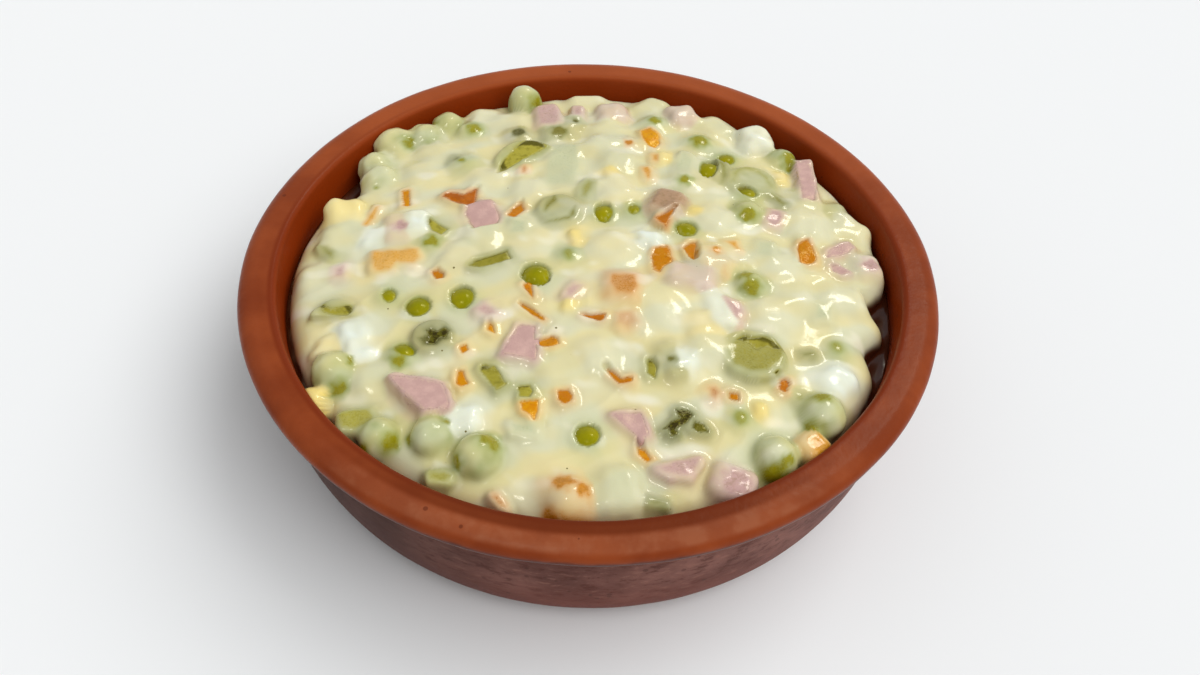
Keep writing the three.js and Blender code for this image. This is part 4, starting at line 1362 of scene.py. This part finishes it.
def bowl_section():
    """The bowl's outline from the middle of its underside, up the outside, over the rim and down
    the inside to the middle of its floor."""
    edge = BOWL_HEIGHT - RIM_EDGE_DROP
    top_outer = RIM_MOUTH_RADIUS + RIM_TOP_WIDTH + LIP_RADIUS
    lip_radius = RIM_MOUTH_RADIUS + LIP_RADIUS
    bead = RIM_RADIUS - top_outer
    face_steps, shoulder_steps, lip_steps = RIM_STEPS
    wall = superellipse(WALL_RADIUS, WALL_TOP, BASE_RADIUS, 0, WALL_STEPS)[::-1]
    outer_face = arc(top_outer, edge, bead, RIM_DEPTH - RIM_EDGE_DROP, RIM_FACE_START, 0, face_steps)
    shoulder = arc(top_outer, edge, bead, RIM_EDGE_DROP, RIM_SHOULDER_START, 90, shoulder_steps)
    flat = level_run(top_outer - RIM_FLAT_MARGINS[0], lip_radius + RIM_FLAT_MARGINS[1],
                     BOWL_HEIGHT, RIM_FLAT_POINTS)
    lip = arc(lip_radius, BOWL_HEIGHT - LIP_DROP, LIP_RADIUS, LIP_DROP, 90, 180, lip_steps)
    inside = superellipse(MOUTH, WALL_TOP, FLOOR_RADIUS, FLOOR_THICKNESS, INSIDE_STEPS)
    underside = level_run(POLE_RADIUS, BASE_RADIUS - FLAT_MARGIN, 0, UNDERSIDE_POINTS)
    floor = level_run(FLOOR_RADIUS - FLAT_MARGIN, POLE_RADIUS, FLOOR_THICKNESS, FLOOR_POINTS)
    return np.concatenate([underside, wall, outer_face, shoulder, flat, lip, inside, floor])


def bowl_mesh(material):
    """The bowl: its section carried round the axis, with the slight waver of hand throwing."""
    section = bowl_section()
    bearing = np.arange(BOWL_SIDES) * 2 * np.pi / BOWL_SIDES
    radius = section[:, 0][:, None] * np.ones(BOWL_SIDES)
    height = section[:, 1][:, None] * np.ones(BOWL_SIDES)
    ring = np.stack([radius * np.cos(bearing), radius * np.sin(bearing), height], -1)
    share = np.clip(height / BOWL_HEIGHT, 0, 1)
    radius = radius * (1 + RIM_WAVER * share * waves(ring, *RIM_WAVE)
                       + WALL_WAVER * waves(ring, *WALL_WAVE))
    height = height + share ** 3 * HEIGHT_WAVER * waves(ring, *HEIGHT_WAVE)
    points = np.stack([radius * np.cos(bearing), radius * np.sin(bearing), height], -1)
    rows = len(section)
    index = np.arange(rows * BOWL_SIDES).reshape(rows, BOWL_SIDES)
    around = np.roll(index, -1, 1)
    quads = np.stack([index[:-1], around[:-1], around[1:], index[1:]], -1).reshape(-1, 4)
    poles = np.array([[0, 0, 0], [0, 0, FLOOR_THICKNESS]], float)
    total = np.concatenate([points.reshape(-1, 3), poles])
    under = np.stack([around[0], index[0], np.full(BOWL_SIDES, len(total) - 2)], 1)
    inside = np.stack([index[-1], around[-1], np.full(BOWL_SIDES, len(total) - 1)], 1)
    return make_object("terracotta_bowl", total, [quads, np.concatenate([under, inside])],
                       material)


# Materials

# Cloudy patterns: size in millimetres, detail and roughness of the noise, the range of it that is
# used, and the values to which that range is carried.
PATTERNS = {
    "mottles": (1.6, 5, 0.7, 0.44, 0.64, 0, 0.8),
    "pea clouds": (4, 3, 0.5, 0.3, 0.7, 0, 1),
    "carrot streaks": (2.2, 4, 0.5, 0.35, 0.7, 0, 0.5),
    "carrot spots": (1.3, 4, 0.7, 0.52, 0.72, 0, 0.6),
    "ham clouds": (3, 4, 0.5, 0.4, 0.7, 0, 1),
    "gherkin threads": (1.8, 4, 0.5, 0.45, 0.7, 0, 0.6),
    "gherkin patches": (1.2, 4, 0.7, 0.4, 0.56, 0, 1),
    "sheen places": (6, 4, 0.5, 0.4, 0.64, 0.3, 0.7),
    "clay clouds": (16, 5, 0.5, 0.3, 0.7, 0, 1),
}
# Noise that other values are added to or multiplied by: size in millimetres, detail, roughness.
GRAINS = (0.55, 3, 0.8)
RIPPLES = (3.2, 2)
VEIL_CLOUDS = (1.6, 5, 0.65)
PATCH_EDGE = (1.0, 4, 0.7)
SKIN_EDGE = (1.6, 3)
LINE_WAVES = (6, 3)
SCRATCHES = (5, 7, 0.72)
CLAY_GRAIN = (2.2, 5)
RELIEF_SIZES = {"peas": 1.4, "carrots": 0.8, "ham": 0.5, "gherkins": 0.9}
# Sparse dots: cells in a metre, the greatest radius as a share of a cell, and the share of cells
# that stay empty.
DRESSING_DOTS = (260.0, 0.08, 0.9)
RIM_DOTS = (240.0, 0.14, 0.8)
WALL_DOTS = (420.0, 0.3, 0.55)
# Ranges over which something comes in: the grains of a thin film, the cloudy veil, a piece that
# rises out of the dressing, gherkin skin, the darkest gherkins, and dark and pale scratches. The
# last two numbers, where there are four, are the values to which it is carried.
GRAIN_RANGE = (1.4, 2.0, 0.0, 0.8)
VEIL_RANGE = (0.62, 1.0, 0.0, 0.85)
PROUD_RANGE = (-0.16, 0.03)
SKIN_RANGE = (0.8, 0.94)
DARKEST_TONES = (0.85, 1.0)
DARK_SCRATCHES = (0.5, 0.64, 0.0, 0.75)
PALE_SCRATCHES = (0.46, 0.36, 0.0, 0.5)
# Shares: of dressing in a piece's film, of flesh where a piece goes under, of the noise in the
# edges of patches and skin, of the painted sheen on the edge behind and in front, and of the dots
# on the clay.
DRESSING_IN_FILM = 0.35
SUNK_FLESH = 0.5
PATCH_WAVER = 0.22
SKIN_WAVER = 0.2
SHEEN_SHARES = (0.08, 1)
SPECK_SHARE = 0.6
FLECK_SHARE = 0.5
# Depths of the relief, in millimetres, and strengths of the bumps.
RIPPLE_BUMP = (0.07, 0.6)
PIECE_BUMP = (0.1, 1.0)
CLAY_BUMP = (0.16, 0.7)
# Roughness of the clay on the rim and on the wall.
CLAY_ROUGHNESS = (0.3, 0.5)
MOTTLE_TINT = (0.66, 0.68, 0.5, 1)
DRESSING_FLECK = linear(120, 110, 60)
PEA_CLOUD = linear(132, 130, 0)
CARROT_STREAK = linear(204, 112, 2)
CARROT_DARK = linear(150, 76, 4)
HAM_CLOUD = linear(208, 170, 162)
GHERKIN_THREAD = linear(118, 112, 22)
GHERKIN_SKIN = linear(88, 82, 10)
GHERKIN_BLACK = linear(48, 40, 6)
WET_TINT = (1.0, 0.95, 0.35, 1.0)
RIM_COLOURS = (linear(124, 52, 22), linear(146, 68, 32))
MOUTH_COLOUR = linear(120, 46, 16)
# Painted shade on the rim's top in front.
FRONT_SHADE_COLOUR = linear(100, 40, 14)
# Painted sheen along the rim's outer edge.
RIM_SHEEN_COLOUR = linear(156, 92, 62)
# Painted sheen at the back of the bowl.
BACK_SHEEN_COLOUR = linear(176, 90, 46)
HOLLOW_COLOUR = linear(138, 50, 10)
# Painted shade in a line under the rim's overhang.
UNDER_RIM_SHADE_COLOUR = linear(82, 32, 14)
SPECK_COLOUR = linear(88, 36, 20)
WALL_COLOURS = (linear(96, 58, 50), linear(130, 86, 76))
SCRATCH_DARK = linear(78, 38, 28)
SCRATCH_PALE = linear(146, 100, 86)
# Redder at the foot, and darker there as painted shade.
FOOT_SHADE_COLOUR = linear(112, 50, 34)
# Painted shade on the wall's left side.
SHADY_COLOUR = linear(58, 34, 27)
FLECK_COLOUR = linear(70, 38, 30)
# Where the clay's looks come in, painted shade and painted sheen among them, from and to, in
# millimetres: out from the mouth, in from the rim's outer circle, up from the wall's top, up from
# the table, and along X and Y.
MOUTH_BAND = (2.6, 1.4)
TOP_BAND = (5.4, 3.4)
SHEEN_BAND = (3.6, 5.4)
HOLLOW_BAND = (1.0, -0.4)
RIM_EDGE_BAND = (0.5, 1.6)
WALL_BAND = (0.8, -0.6)
UNDER_RIM_SHADE_BANDS = ((-0.6, 0.6), (5.2, 3.8))
FOOT_SHADE_BAND = (28, 8)
SHADY_BAND = (0, -60)
FRONT_BAND = (-56, -84)
BACK_SHEEN_BAND = (0, 80)
# How strongly they come in.
FRONT_SHADE_SHARE = 0.75
BACK_SHEEN_SHARE = 0.5
FOOT_SHADE_SHARE = 0.75
SHADY_SHARE = 0.75
# The outer side is where the surface's normal points away from the axis. The band is for the
# product of the normal and the way out from the axis, in millimetres, and starts a little before
# nought, so that the rim's top counts as well.
OUTSIDE_BAND = (-20, -5)
# How wavy the line of painted shade under the rim and the foot's painted shade are, and how much
# the scratches are drawn out round the wall.
LINE_WAVER = 1.6
SCRATCH_DRAW = (1, 1, 2.4)


def add(tree, kind, inputs=None, **settings):
    """A node with its settings, and its inputs linked or set, by name or number."""
    made = tree.nodes.new(kind)
    for name, value in settings.items():
        setattr(made, name, value)
    for name, value in (inputs or {}).items():
        socket = made.inputs[name]
        if isinstance(value, bpy.types.NodeSocket):
            tree.links.new(value, socket)
        else:
            socket.default_value = value
    return made


def mix(tree, share, first, second, blend_type="MIX"):
    """A colour between two others, or the first tinted by the second."""
    made = add(tree, "ShaderNodeMix", {0: share, 6: first, 7: second}, data_type="RGBA",
               blend_type=blend_type)
    return made.outputs[2]


def ramp(tree, value, low, high, first=0.0, second=1.0):
    """A value carried from one range to another, smoothly and within its ends."""
    made = add(tree, "ShaderNodeMapRange", {"Value": value, "From Min": low, "From Max": high,
                                            "To Min": first, "To Max": second},
               interpolation_type="SMOOTHSTEP")
    return made.outputs["Result"]


def fade(tree, length, band, first=0.0, second=1.0, zero=0.0, way=1):
    """A ramp over a length in metres. Its band is in millimetres, from zero, and runs the given
    way."""
    start, end = ((zero + way * limit) * MM for limit in band)
    return ramp(tree, length, start, end, first, second)


def maths(tree, operation, first, second):
    """Two values added, subtracted, multiplied or compared."""
    return add(tree, "ShaderNodeMath", {0: first, 1: second}, operation=operation).outputs[0]


def times(tree, first, second):
    """The product of two values."""
    return maths(tree, "MULTIPLY", first, second)


def plus(tree, first, second):
    """The sum of two values."""
    return maths(tree, "ADD", first, second)


def noise(tree, vector, size, detail=3.0, roughness=0.5):
    """Cloudy values of about the given size in millimetres, on coordinates in metres."""
    made = add(tree, "ShaderNodeTexNoise", {"Vector": vector, "Scale": 1 / (size * MM),
                                            "Detail": detail, "Roughness": roughness})
    return made.outputs["Fac"]


def clouds(tree, place, name):
    """One of the cloudy patterns, as a mask."""
    size, detail, roughness, *limits = PATTERNS[name]
    return ramp(tree, noise(tree, place, size, detail, roughness), *limits)


def painted(tree, name, output="Fac"):
    """A number, or with output Vector a colour, that is painted on the mesh."""
    return add(tree, "ShaderNodeAttribute", attribute_name=name).outputs[output]


def new_material(name):
    """An empty material, its nodes, and its object coordinates."""
    made = bpy.data.materials.new(name)
    made.use_nodes = True
    tree = made.node_tree
    tree.nodes.clear()
    place = add(tree, "ShaderNodeTexCoord").outputs["Object"]
    return made, tree, place


def finish_material(tree, **inputs):
    """The surface shader and the output, with every input set or linked on the shader itself."""
    named = {name.replace("_", " "): value for name, value in inputs.items()}
    shader = add(tree, "ShaderNodeBsdfPrincipled", named, subsurface_method="RANDOM_WALK")
    add(tree, "ShaderNodeOutputMaterial", {"Surface": shader.outputs["BSDF"]})


def bump(tree, height, depth, strength=1.0):
    """A normal from a height of 0 to 1 that stands for a depth in millimetres."""
    made = add(tree, "ShaderNodeBump", {"Height": height, "Strength": strength,
                                        "Distance": depth * MM})
    return made.outputs["Normal"]


def fleck_group():
    """Sparse small dots: near the points of a cell pattern, in those cells that a draw picks."""
    group = bpy.data.node_groups.new("flecks", "ShaderNodeTree")
    group.interface.new_socket("Place", in_out="INPUT", socket_type="NodeSocketVector")
    for name in ("Scale", "Size", "Rarity"):
        group.interface.new_socket(name, in_out="INPUT", socket_type="NodeSocketFloat")
    group.interface.new_socket("Mask", in_out="OUTPUT", socket_type="NodeSocketFloat")
    given = group.nodes.new("NodeGroupInput").outputs
    cells = add(group, "ShaderNodeTexVoronoi", {"Vector": given["Place"],
                                                "Scale": given["Scale"]})
    draw = add(group, "ShaderNodeSeparateColor", {"Color": cells.outputs["Color"]})
    picked = maths(group, "GREATER_THAN", draw.outputs["Red"], given["Rarity"])
    reach = times(group, given["Size"], draw.outputs["Green"])
    inside = maths(group, "LESS_THAN", cells.outputs["Distance"], reach)
    given_out = group.nodes.new("NodeGroupOutput")
    group.links.new(times(group, picked, inside), given_out.inputs["Mask"])
    return group


def dots(tree, flecks, place, values):
    """A mask of sparse dots, from the group that the materials share."""
    inputs = {"Place": place, **dict(zip(("Scale", "Size", "Rarity"), values))}
    return add(tree, "ShaderNodeGroup", inputs, node_tree=flecks).outputs["Mask"]


def dressing_material(flecks):
    """Wet mayonnaise: the colour of what lies under it, which comes through in grains where the
    film is thin, and tiny dark flecks."""
    made, tree, place = new_material("dressing")
    grains = noise(tree, place, *GRAINS)
    grains = plus(tree, painted(tree, "thin"), plus(tree, grains, grains))
    flesh = mix(tree, clouds(tree, place, "mottles"), painted(tree, "flesh", "Vector"),
                MOTTLE_TINT, "MULTIPLY")
    colour = mix(tree, ramp(tree, grains, *GRAIN_RANGE), painted(tree, "film", "Vector"), flesh)
    colour = mix(tree, dots(tree, flecks, place, DRESSING_DOTS), colour, DRESSING_FLECK)
    finish_material(tree, Base_Color=colour, Roughness=0.15, IOR=1.45, Subsurface_Weight=0.08,
                    Subsurface_Radius=(1.0, 0.8, 0.45), Subsurface_Scale=1.2 * MM,
                    Normal=bump(tree, noise(tree, place, *RIPPLES), *RIPPLE_BUMP))
    return made


def piece_material(kind, detail):
    """A cut or whole vegetable: its flesh by tone, wet, and fading into dressing where it sinks
    in. detail adds the kind's own pattern to the flesh."""
    made, tree, place = new_material(kind)
    tone = painted(tree, "tone")
    veil = painted(tree, "veil")
    flesh = detail(tree, place, mix(tree, tone, *FLESH[kind]))
    film = mix(tree, DRESSING_IN_FILM, mix(tree, tone, *FILM[kind]), DRESSING_COLOUR)
    veiled = plus(tree, noise(tree, place, *VEIL_CLOUDS), plus(tree, veil, veil))
    flesh = mix(tree, ramp(tree, veiled, *VEIL_RANGE), flesh, film)
    ragged = times(tree, noise(tree, place, *PATCH_EDGE), PATCH_WAVER)
    bare = ramp(tree, maths(tree, "SUBTRACT", painted(tree, "proud"), ragged), *PROUD_RANGE)
    colour = mix(tree, bare, mix(tree, SUNK_FLESH, film, flesh), flesh)
    relief = noise(tree, place, RELIEF_SIZES[kind])
    finish_material(tree, Base_Color=colour, Roughness=0.2, Specular_IOR_Level=0.32,
                    Specular_Tint=WET_TINT, Normal=bump(tree, relief, *PIECE_BUMP))
    return made


def pea_detail(tree, place, flesh):
    """Slightly cloudy skin."""
    return mix(tree, clouds(tree, place, "pea clouds"), flesh, PEA_CLOUD)


def carrot_detail(tree, place, flesh):
    """Streaks of brighter orange, and darker spots."""
    flesh = mix(tree, clouds(tree, place, "carrot streaks"), flesh, CARROT_STREAK)
    return mix(tree, clouds(tree, place, "carrot spots"), flesh, CARROT_DARK)


def ham_detail(tree, place, flesh):
    """Cloudy pink."""
    return mix(tree, clouds(tree, place, "ham clouds"), flesh, HAM_CLOUD)


def gherkin_detail(tree, place, flesh):
    """Pale wet flesh with darker threads, the dark skin along one side or round a slice, and
    almost black patches on the darkest pieces."""
    uneven = times(tree, noise(tree, place, *SKIN_EDGE), SKIN_WAVER)
    skin = ramp(tree, plus(tree, painted(tree, "rind"), uneven), *SKIN_RANGE)
    black = times(tree, ramp(tree, painted(tree, "tone"), *DARKEST_TONES),
                  clouds(tree, place, "gherkin patches"))
    flesh = mix(tree, clouds(tree, place, "gherkin threads"), flesh, GHERKIN_THREAD)
    flesh = mix(tree, skin, flesh, GHERKIN_SKIN)
    return mix(tree, black, flesh, GHERKIN_BLACK)


def rim_colour(tree, place, specks, cloudy, radius, under_rim_shade):
    """The rim and the inside: redder by the mouth and in the hollow, with painted shade on the top
    in front, painted sheen at the back and along the outer edge, dark specks, and a line of painted
    shade under the rim."""
    sides = add(tree, "ShaderNodeSeparateXYZ", {"Vector": place}).outputs
    mouth = RIM_MOUTH_RADIUS
    front = fade(tree, sides["Y"], FRONT_BAND)
    top = fade(tree, radius, TOP_BAND, 0, FRONT_SHADE_SHARE, mouth)
    # Painted sheen along the outer edge, in patches, strongest in front.
    rim_sheen = times(tree, fade(tree, radius, SHEEN_BAND, zero=mouth),
                 fade(tree, radius, RIM_EDGE_BAND, zero=RIM_RADIUS, way=-1))
    rim_sheen = times(tree, rim_sheen, clouds(tree, place, "sheen places"))
    rim_sheen = times(tree, rim_sheen, ramp(tree, front, 0, 1, *SHEEN_SHARES))
    colour = mix(tree, cloudy, *RIM_COLOURS)
    # The front tint is painted shade, the edge band and the back tint painted sheen, and the line
    # under the rim painted shade.
    for mask, tint in ((fade(tree, radius, MOUTH_BAND, zero=mouth), MOUTH_COLOUR),
                       (times(tree, front, top), FRONT_SHADE_COLOUR),
                       (rim_sheen, RIM_SHEEN_COLOUR),
                       (fade(tree, sides["Y"], BACK_SHEEN_BAND, 0, BACK_SHEEN_SHARE), BACK_SHEEN_COLOUR),
                       (fade(tree, radius, HOLLOW_BAND, zero=mouth), HOLLOW_COLOUR),
                       (under_rim_shade, UNDER_RIM_SHADE_COLOUR),
                       (times(tree, specks, SPECK_SHARE), SPECK_COLOUR)):
        colour = mix(tree, mask, colour, tint)
    return colour


def wall_colour(tree, place, specks, cloudy, scratched, level):
    """The outside wall: scratched dark and pale, redder at the foot and darker there as painted
    shade, with painted shade at the left, and flecked."""
    sides = add(tree, "ShaderNodeSeparateXYZ", {"Vector": place}).outputs
    colour = mix(tree, cloudy, *WALL_COLOURS)
    # The foot's tint is partly painted shade, and the tint at the left is painted shade.
    for mask, tint in ((ramp(tree, scratched, *DARK_SCRATCHES), SCRATCH_DARK),
                       (ramp(tree, scratched, *PALE_SCRATCHES), SCRATCH_PALE),
                       (fade(tree, level, FOOT_SHADE_BAND, 0, FOOT_SHADE_SHARE), FOOT_SHADE_COLOUR),
                       (fade(tree, sides["X"], SHADY_BAND, 0, SHADY_SHARE), SHADY_COLOUR),
                       (times(tree, specks, FLECK_SHARE), FLECK_COLOUR)):
        colour = mix(tree, mask, colour, tint)
    return colour


def clay_material(flecks):
    """Clear-glazed red clay: glossy and even on the rim and inside, half matte, scratched and
    flecked on the outside wall, with a line of painted shade under the rim."""
    made, tree, place = new_material("glazed_clay")
    height = add(tree, "ShaderNodeSeparateXYZ", {"Vector": place}).outputs["Z"]
    across = add(tree, "ShaderNodeVectorMath", {0: place, 1: (1, 1, 0)}, operation="MULTIPLY")
    radius = add(tree, "ShaderNodeVectorMath", {0: across.outputs[0]}, operation="LENGTH")
    normal = add(tree, "ShaderNodeNewGeometry").outputs["Normal"]
    facing = add(tree, "ShaderNodeVectorMath", {0: normal, 1: across.outputs[0]},
                 operation="DOT_PRODUCT")
    drawn = add(tree, "ShaderNodeVectorMath", {0: place, 1: SCRATCH_DRAW}, operation="MULTIPLY")
    outside = fade(tree, facing.outputs["Value"], OUTSIDE_BAND)
    level = plus(tree, height, times(tree, noise(tree, place, *LINE_WAVES), LINE_WAVER * MM))
    # Painted shade in a line under the rim's overhang.
    under_rim_shade = times(tree, *(fade(tree, level, band, zero=WALL_TOP) for band in UNDER_RIM_SHADE_BANDS))
    cloudy = clouds(tree, place, "clay clouds")
    scratched = noise(tree, drawn.outputs[0], *SCRATCHES)
    rim = rim_colour(tree, place, dots(tree, flecks, place, RIM_DOTS), cloudy,
                     radius.outputs["Value"], times(tree, under_rim_shade, outside))
    wall = wall_colour(tree, place, dots(tree, flecks, place, WALL_DOTS), cloudy, scratched, level)
    on_wall = times(tree, fade(tree, height, WALL_BAND, zero=WALL_TOP), outside)
    relief = mix(tree, on_wall, noise(tree, place, *CLAY_GRAIN), scratched)
    finish_material(tree, Base_Color=mix(tree, on_wall, rim, wall), Specular_IOR_Level=0.08,
                    Roughness=ramp(tree, on_wall, 0, 1, *CLAY_ROUGHNESS),
                    Normal=bump(tree, relief, *CLAY_BUMP))
    return made


# Stage

TABLE_COLOUR = (0.868, 0.882, 0.888, 1)
TABLE_HALF = 2500.0
ROOM_STRENGTH = 0.5
# Lights: the way that each comes from, its spread in degrees and its strength. The lamps only
# give the wet salad its highlights, and the others only light it.
SOFT_LIGHTS = {"window": ((0.66, 0.34, 1.0), 44, 1.0), "room_light": ((0.62, -0.5, 1.0), 40, 1.2)}
LAMPS = {"back_lamp": ((0.34, 0.62, 0.8), 12, 0.42), "ceiling_lamp": ((-0.16, -0.3, 1.0), 8, 0.24)}
LAMP_COLOUR = (1.0, 0.96, 0.82)


def make_floor():
    """A wide pale table top, which isn't part of the object."""
    made, tree, _ = new_material("pale_table")
    finish_material(tree, Base_Color=TABLE_COLOUR, Roughness=1.0)
    points = np.array([(-1, -1, 0), (1, -1, 0), (1, 1, 0), (-1, 1, 0)]) * TABLE_HALF
    floor = make_object("table_top", points, [np.array([[0, 1, 2, 3]])], made)


def make_light(name, source, spread, strength):
    """A distant light from the way of source, spread over an angle in degrees."""
    lamp = bpy.data.lights.new(name, "SUN")
    lamp.angle = math.radians(spread)
    lamp.energy = strength
    made = bpy.data.objects.new(name, lamp)
    back = np.array(source) / np.linalg.norm(source)
    side = np.cross((0, 0, 1), back)
    side /= np.linalg.norm(side)
    up = np.cross(back, side)
    made.rotation_mode = "QUATERNION"
    made.rotation_quaternion = Matrix(np.stack([side, up, back], 1)).to_quaternion()
    bpy.context.scene.collection.objects.link(made)
    return made


def make_lights():
    """Even pale surroundings, a broad light behind the bowl to the right, a softer one in front of
    it, and two small lamps."""
    world = bpy.data.worlds.new("pale_room")
    world.use_nodes = True
    room = world.node_tree.nodes["Background"].inputs
    room["Color"].default_value = (1, 1, 1, 1)
    room["Strength"].default_value = ROOM_STRENGTH
    bpy.context.scene.world = world
    for name, values in SOFT_LIGHTS.items():
        make_light(name, *values).visible_glossy = False
    for name, values in LAMPS.items():
        lamp = make_light(name, *values)
        lamp.visible_diffuse = False
        lamp.data.color = LAMP_COLOUR


# Camera: focal length in photograph pixels, and its angles in degrees.
PHOTO_WIDTH = 1200
FOCAL_PIXELS = 1150
SENSOR_WIDTH = 36.0
CAMERA_DISTANCE = 300.0
CAMERA_PITCH = 43.414
CAMERA_AIM_DROP = -3.956
CAMERA_ROLL = 1.926
CAMERA_YAW = 0.564


def make_camera():
    """The photograph's view: it stands back from the rim's centre at the pitch, and its own axes
    are then turned by the yaw, the aim and the roll."""
    pitch, yaw, aim, roll = (math.radians(angle) for angle in (
        CAMERA_PITCH, CAMERA_YAW, CAMERA_AIM_DROP, CAMERA_ROLL))
    back = np.array([0, -math.cos(pitch), math.sin(pitch)])
    right = np.array([1.0, 0, 0])
    up = np.array([0, math.sin(pitch), math.cos(pitch)])
    ahead = -back
    right, ahead = (right * math.cos(yaw) - ahead * math.sin(yaw),
                    ahead * math.cos(yaw) + right * math.sin(yaw))
    ahead, up = (ahead * math.cos(aim) + up * math.sin(aim),
                 up * math.cos(aim) - ahead * math.sin(aim))
    right, up = (right * math.cos(roll) + up * math.sin(roll),
                 up * math.cos(roll) - right * math.sin(roll))
    lens = bpy.data.cameras.new("camera")
    lens.sensor_width = SENSOR_WIDTH
    lens.lens = SENSOR_WIDTH * FOCAL_PIXELS / PHOTO_WIDTH
    lens.clip_start = 0.01
    made = bpy.data.objects.new("camera", lens)
    made.location = (back * CAMERA_DISTANCE + np.array([0, 0, BOWL_HEIGHT])) * MM
    made.rotation_mode = "QUATERNION"
    made.rotation_quaternion = Matrix(np.stack([right, up, -ahead], 1)).to_quaternion()
    bpy.context.scene.collection.objects.link(made)
    bpy.context.scene.camera = made


def dress(piece, node):
    """Ties a finished piece to the frame: its body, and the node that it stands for."""
    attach(piece, "root")
    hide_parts(node)


def build():
    """The whole scene: camera, lights and table, then the bowl, the dressing and the pieces that
    lie bare in it."""
    bpy.context.scene.view_settings.view_transform = "Standard"
    make_camera()
    make_lights()
    make_floor()
    flecks = fleck_group()
    dress(bowl_mesh(clay_material(flecks)), "bowl")
    pieces = all_pieces()
    points, faces, looks = dressing_mesh(pieces)
    dressing = make_object("dressing", points, faces, dressing_material(flecks))
    for name, values in looks.items():
        paint(dressing, name, values)
    dress(dressing, "salad")
    details = {"peas": pea_detail, "carrots": carrot_detail, "ham": ham_detail,
               "gherkins": gherkin_detail}
    for kind, detail in details.items():
        dress(bare_pieces(kind, pieces, piece_material(kind, detail)), "salad")


build()
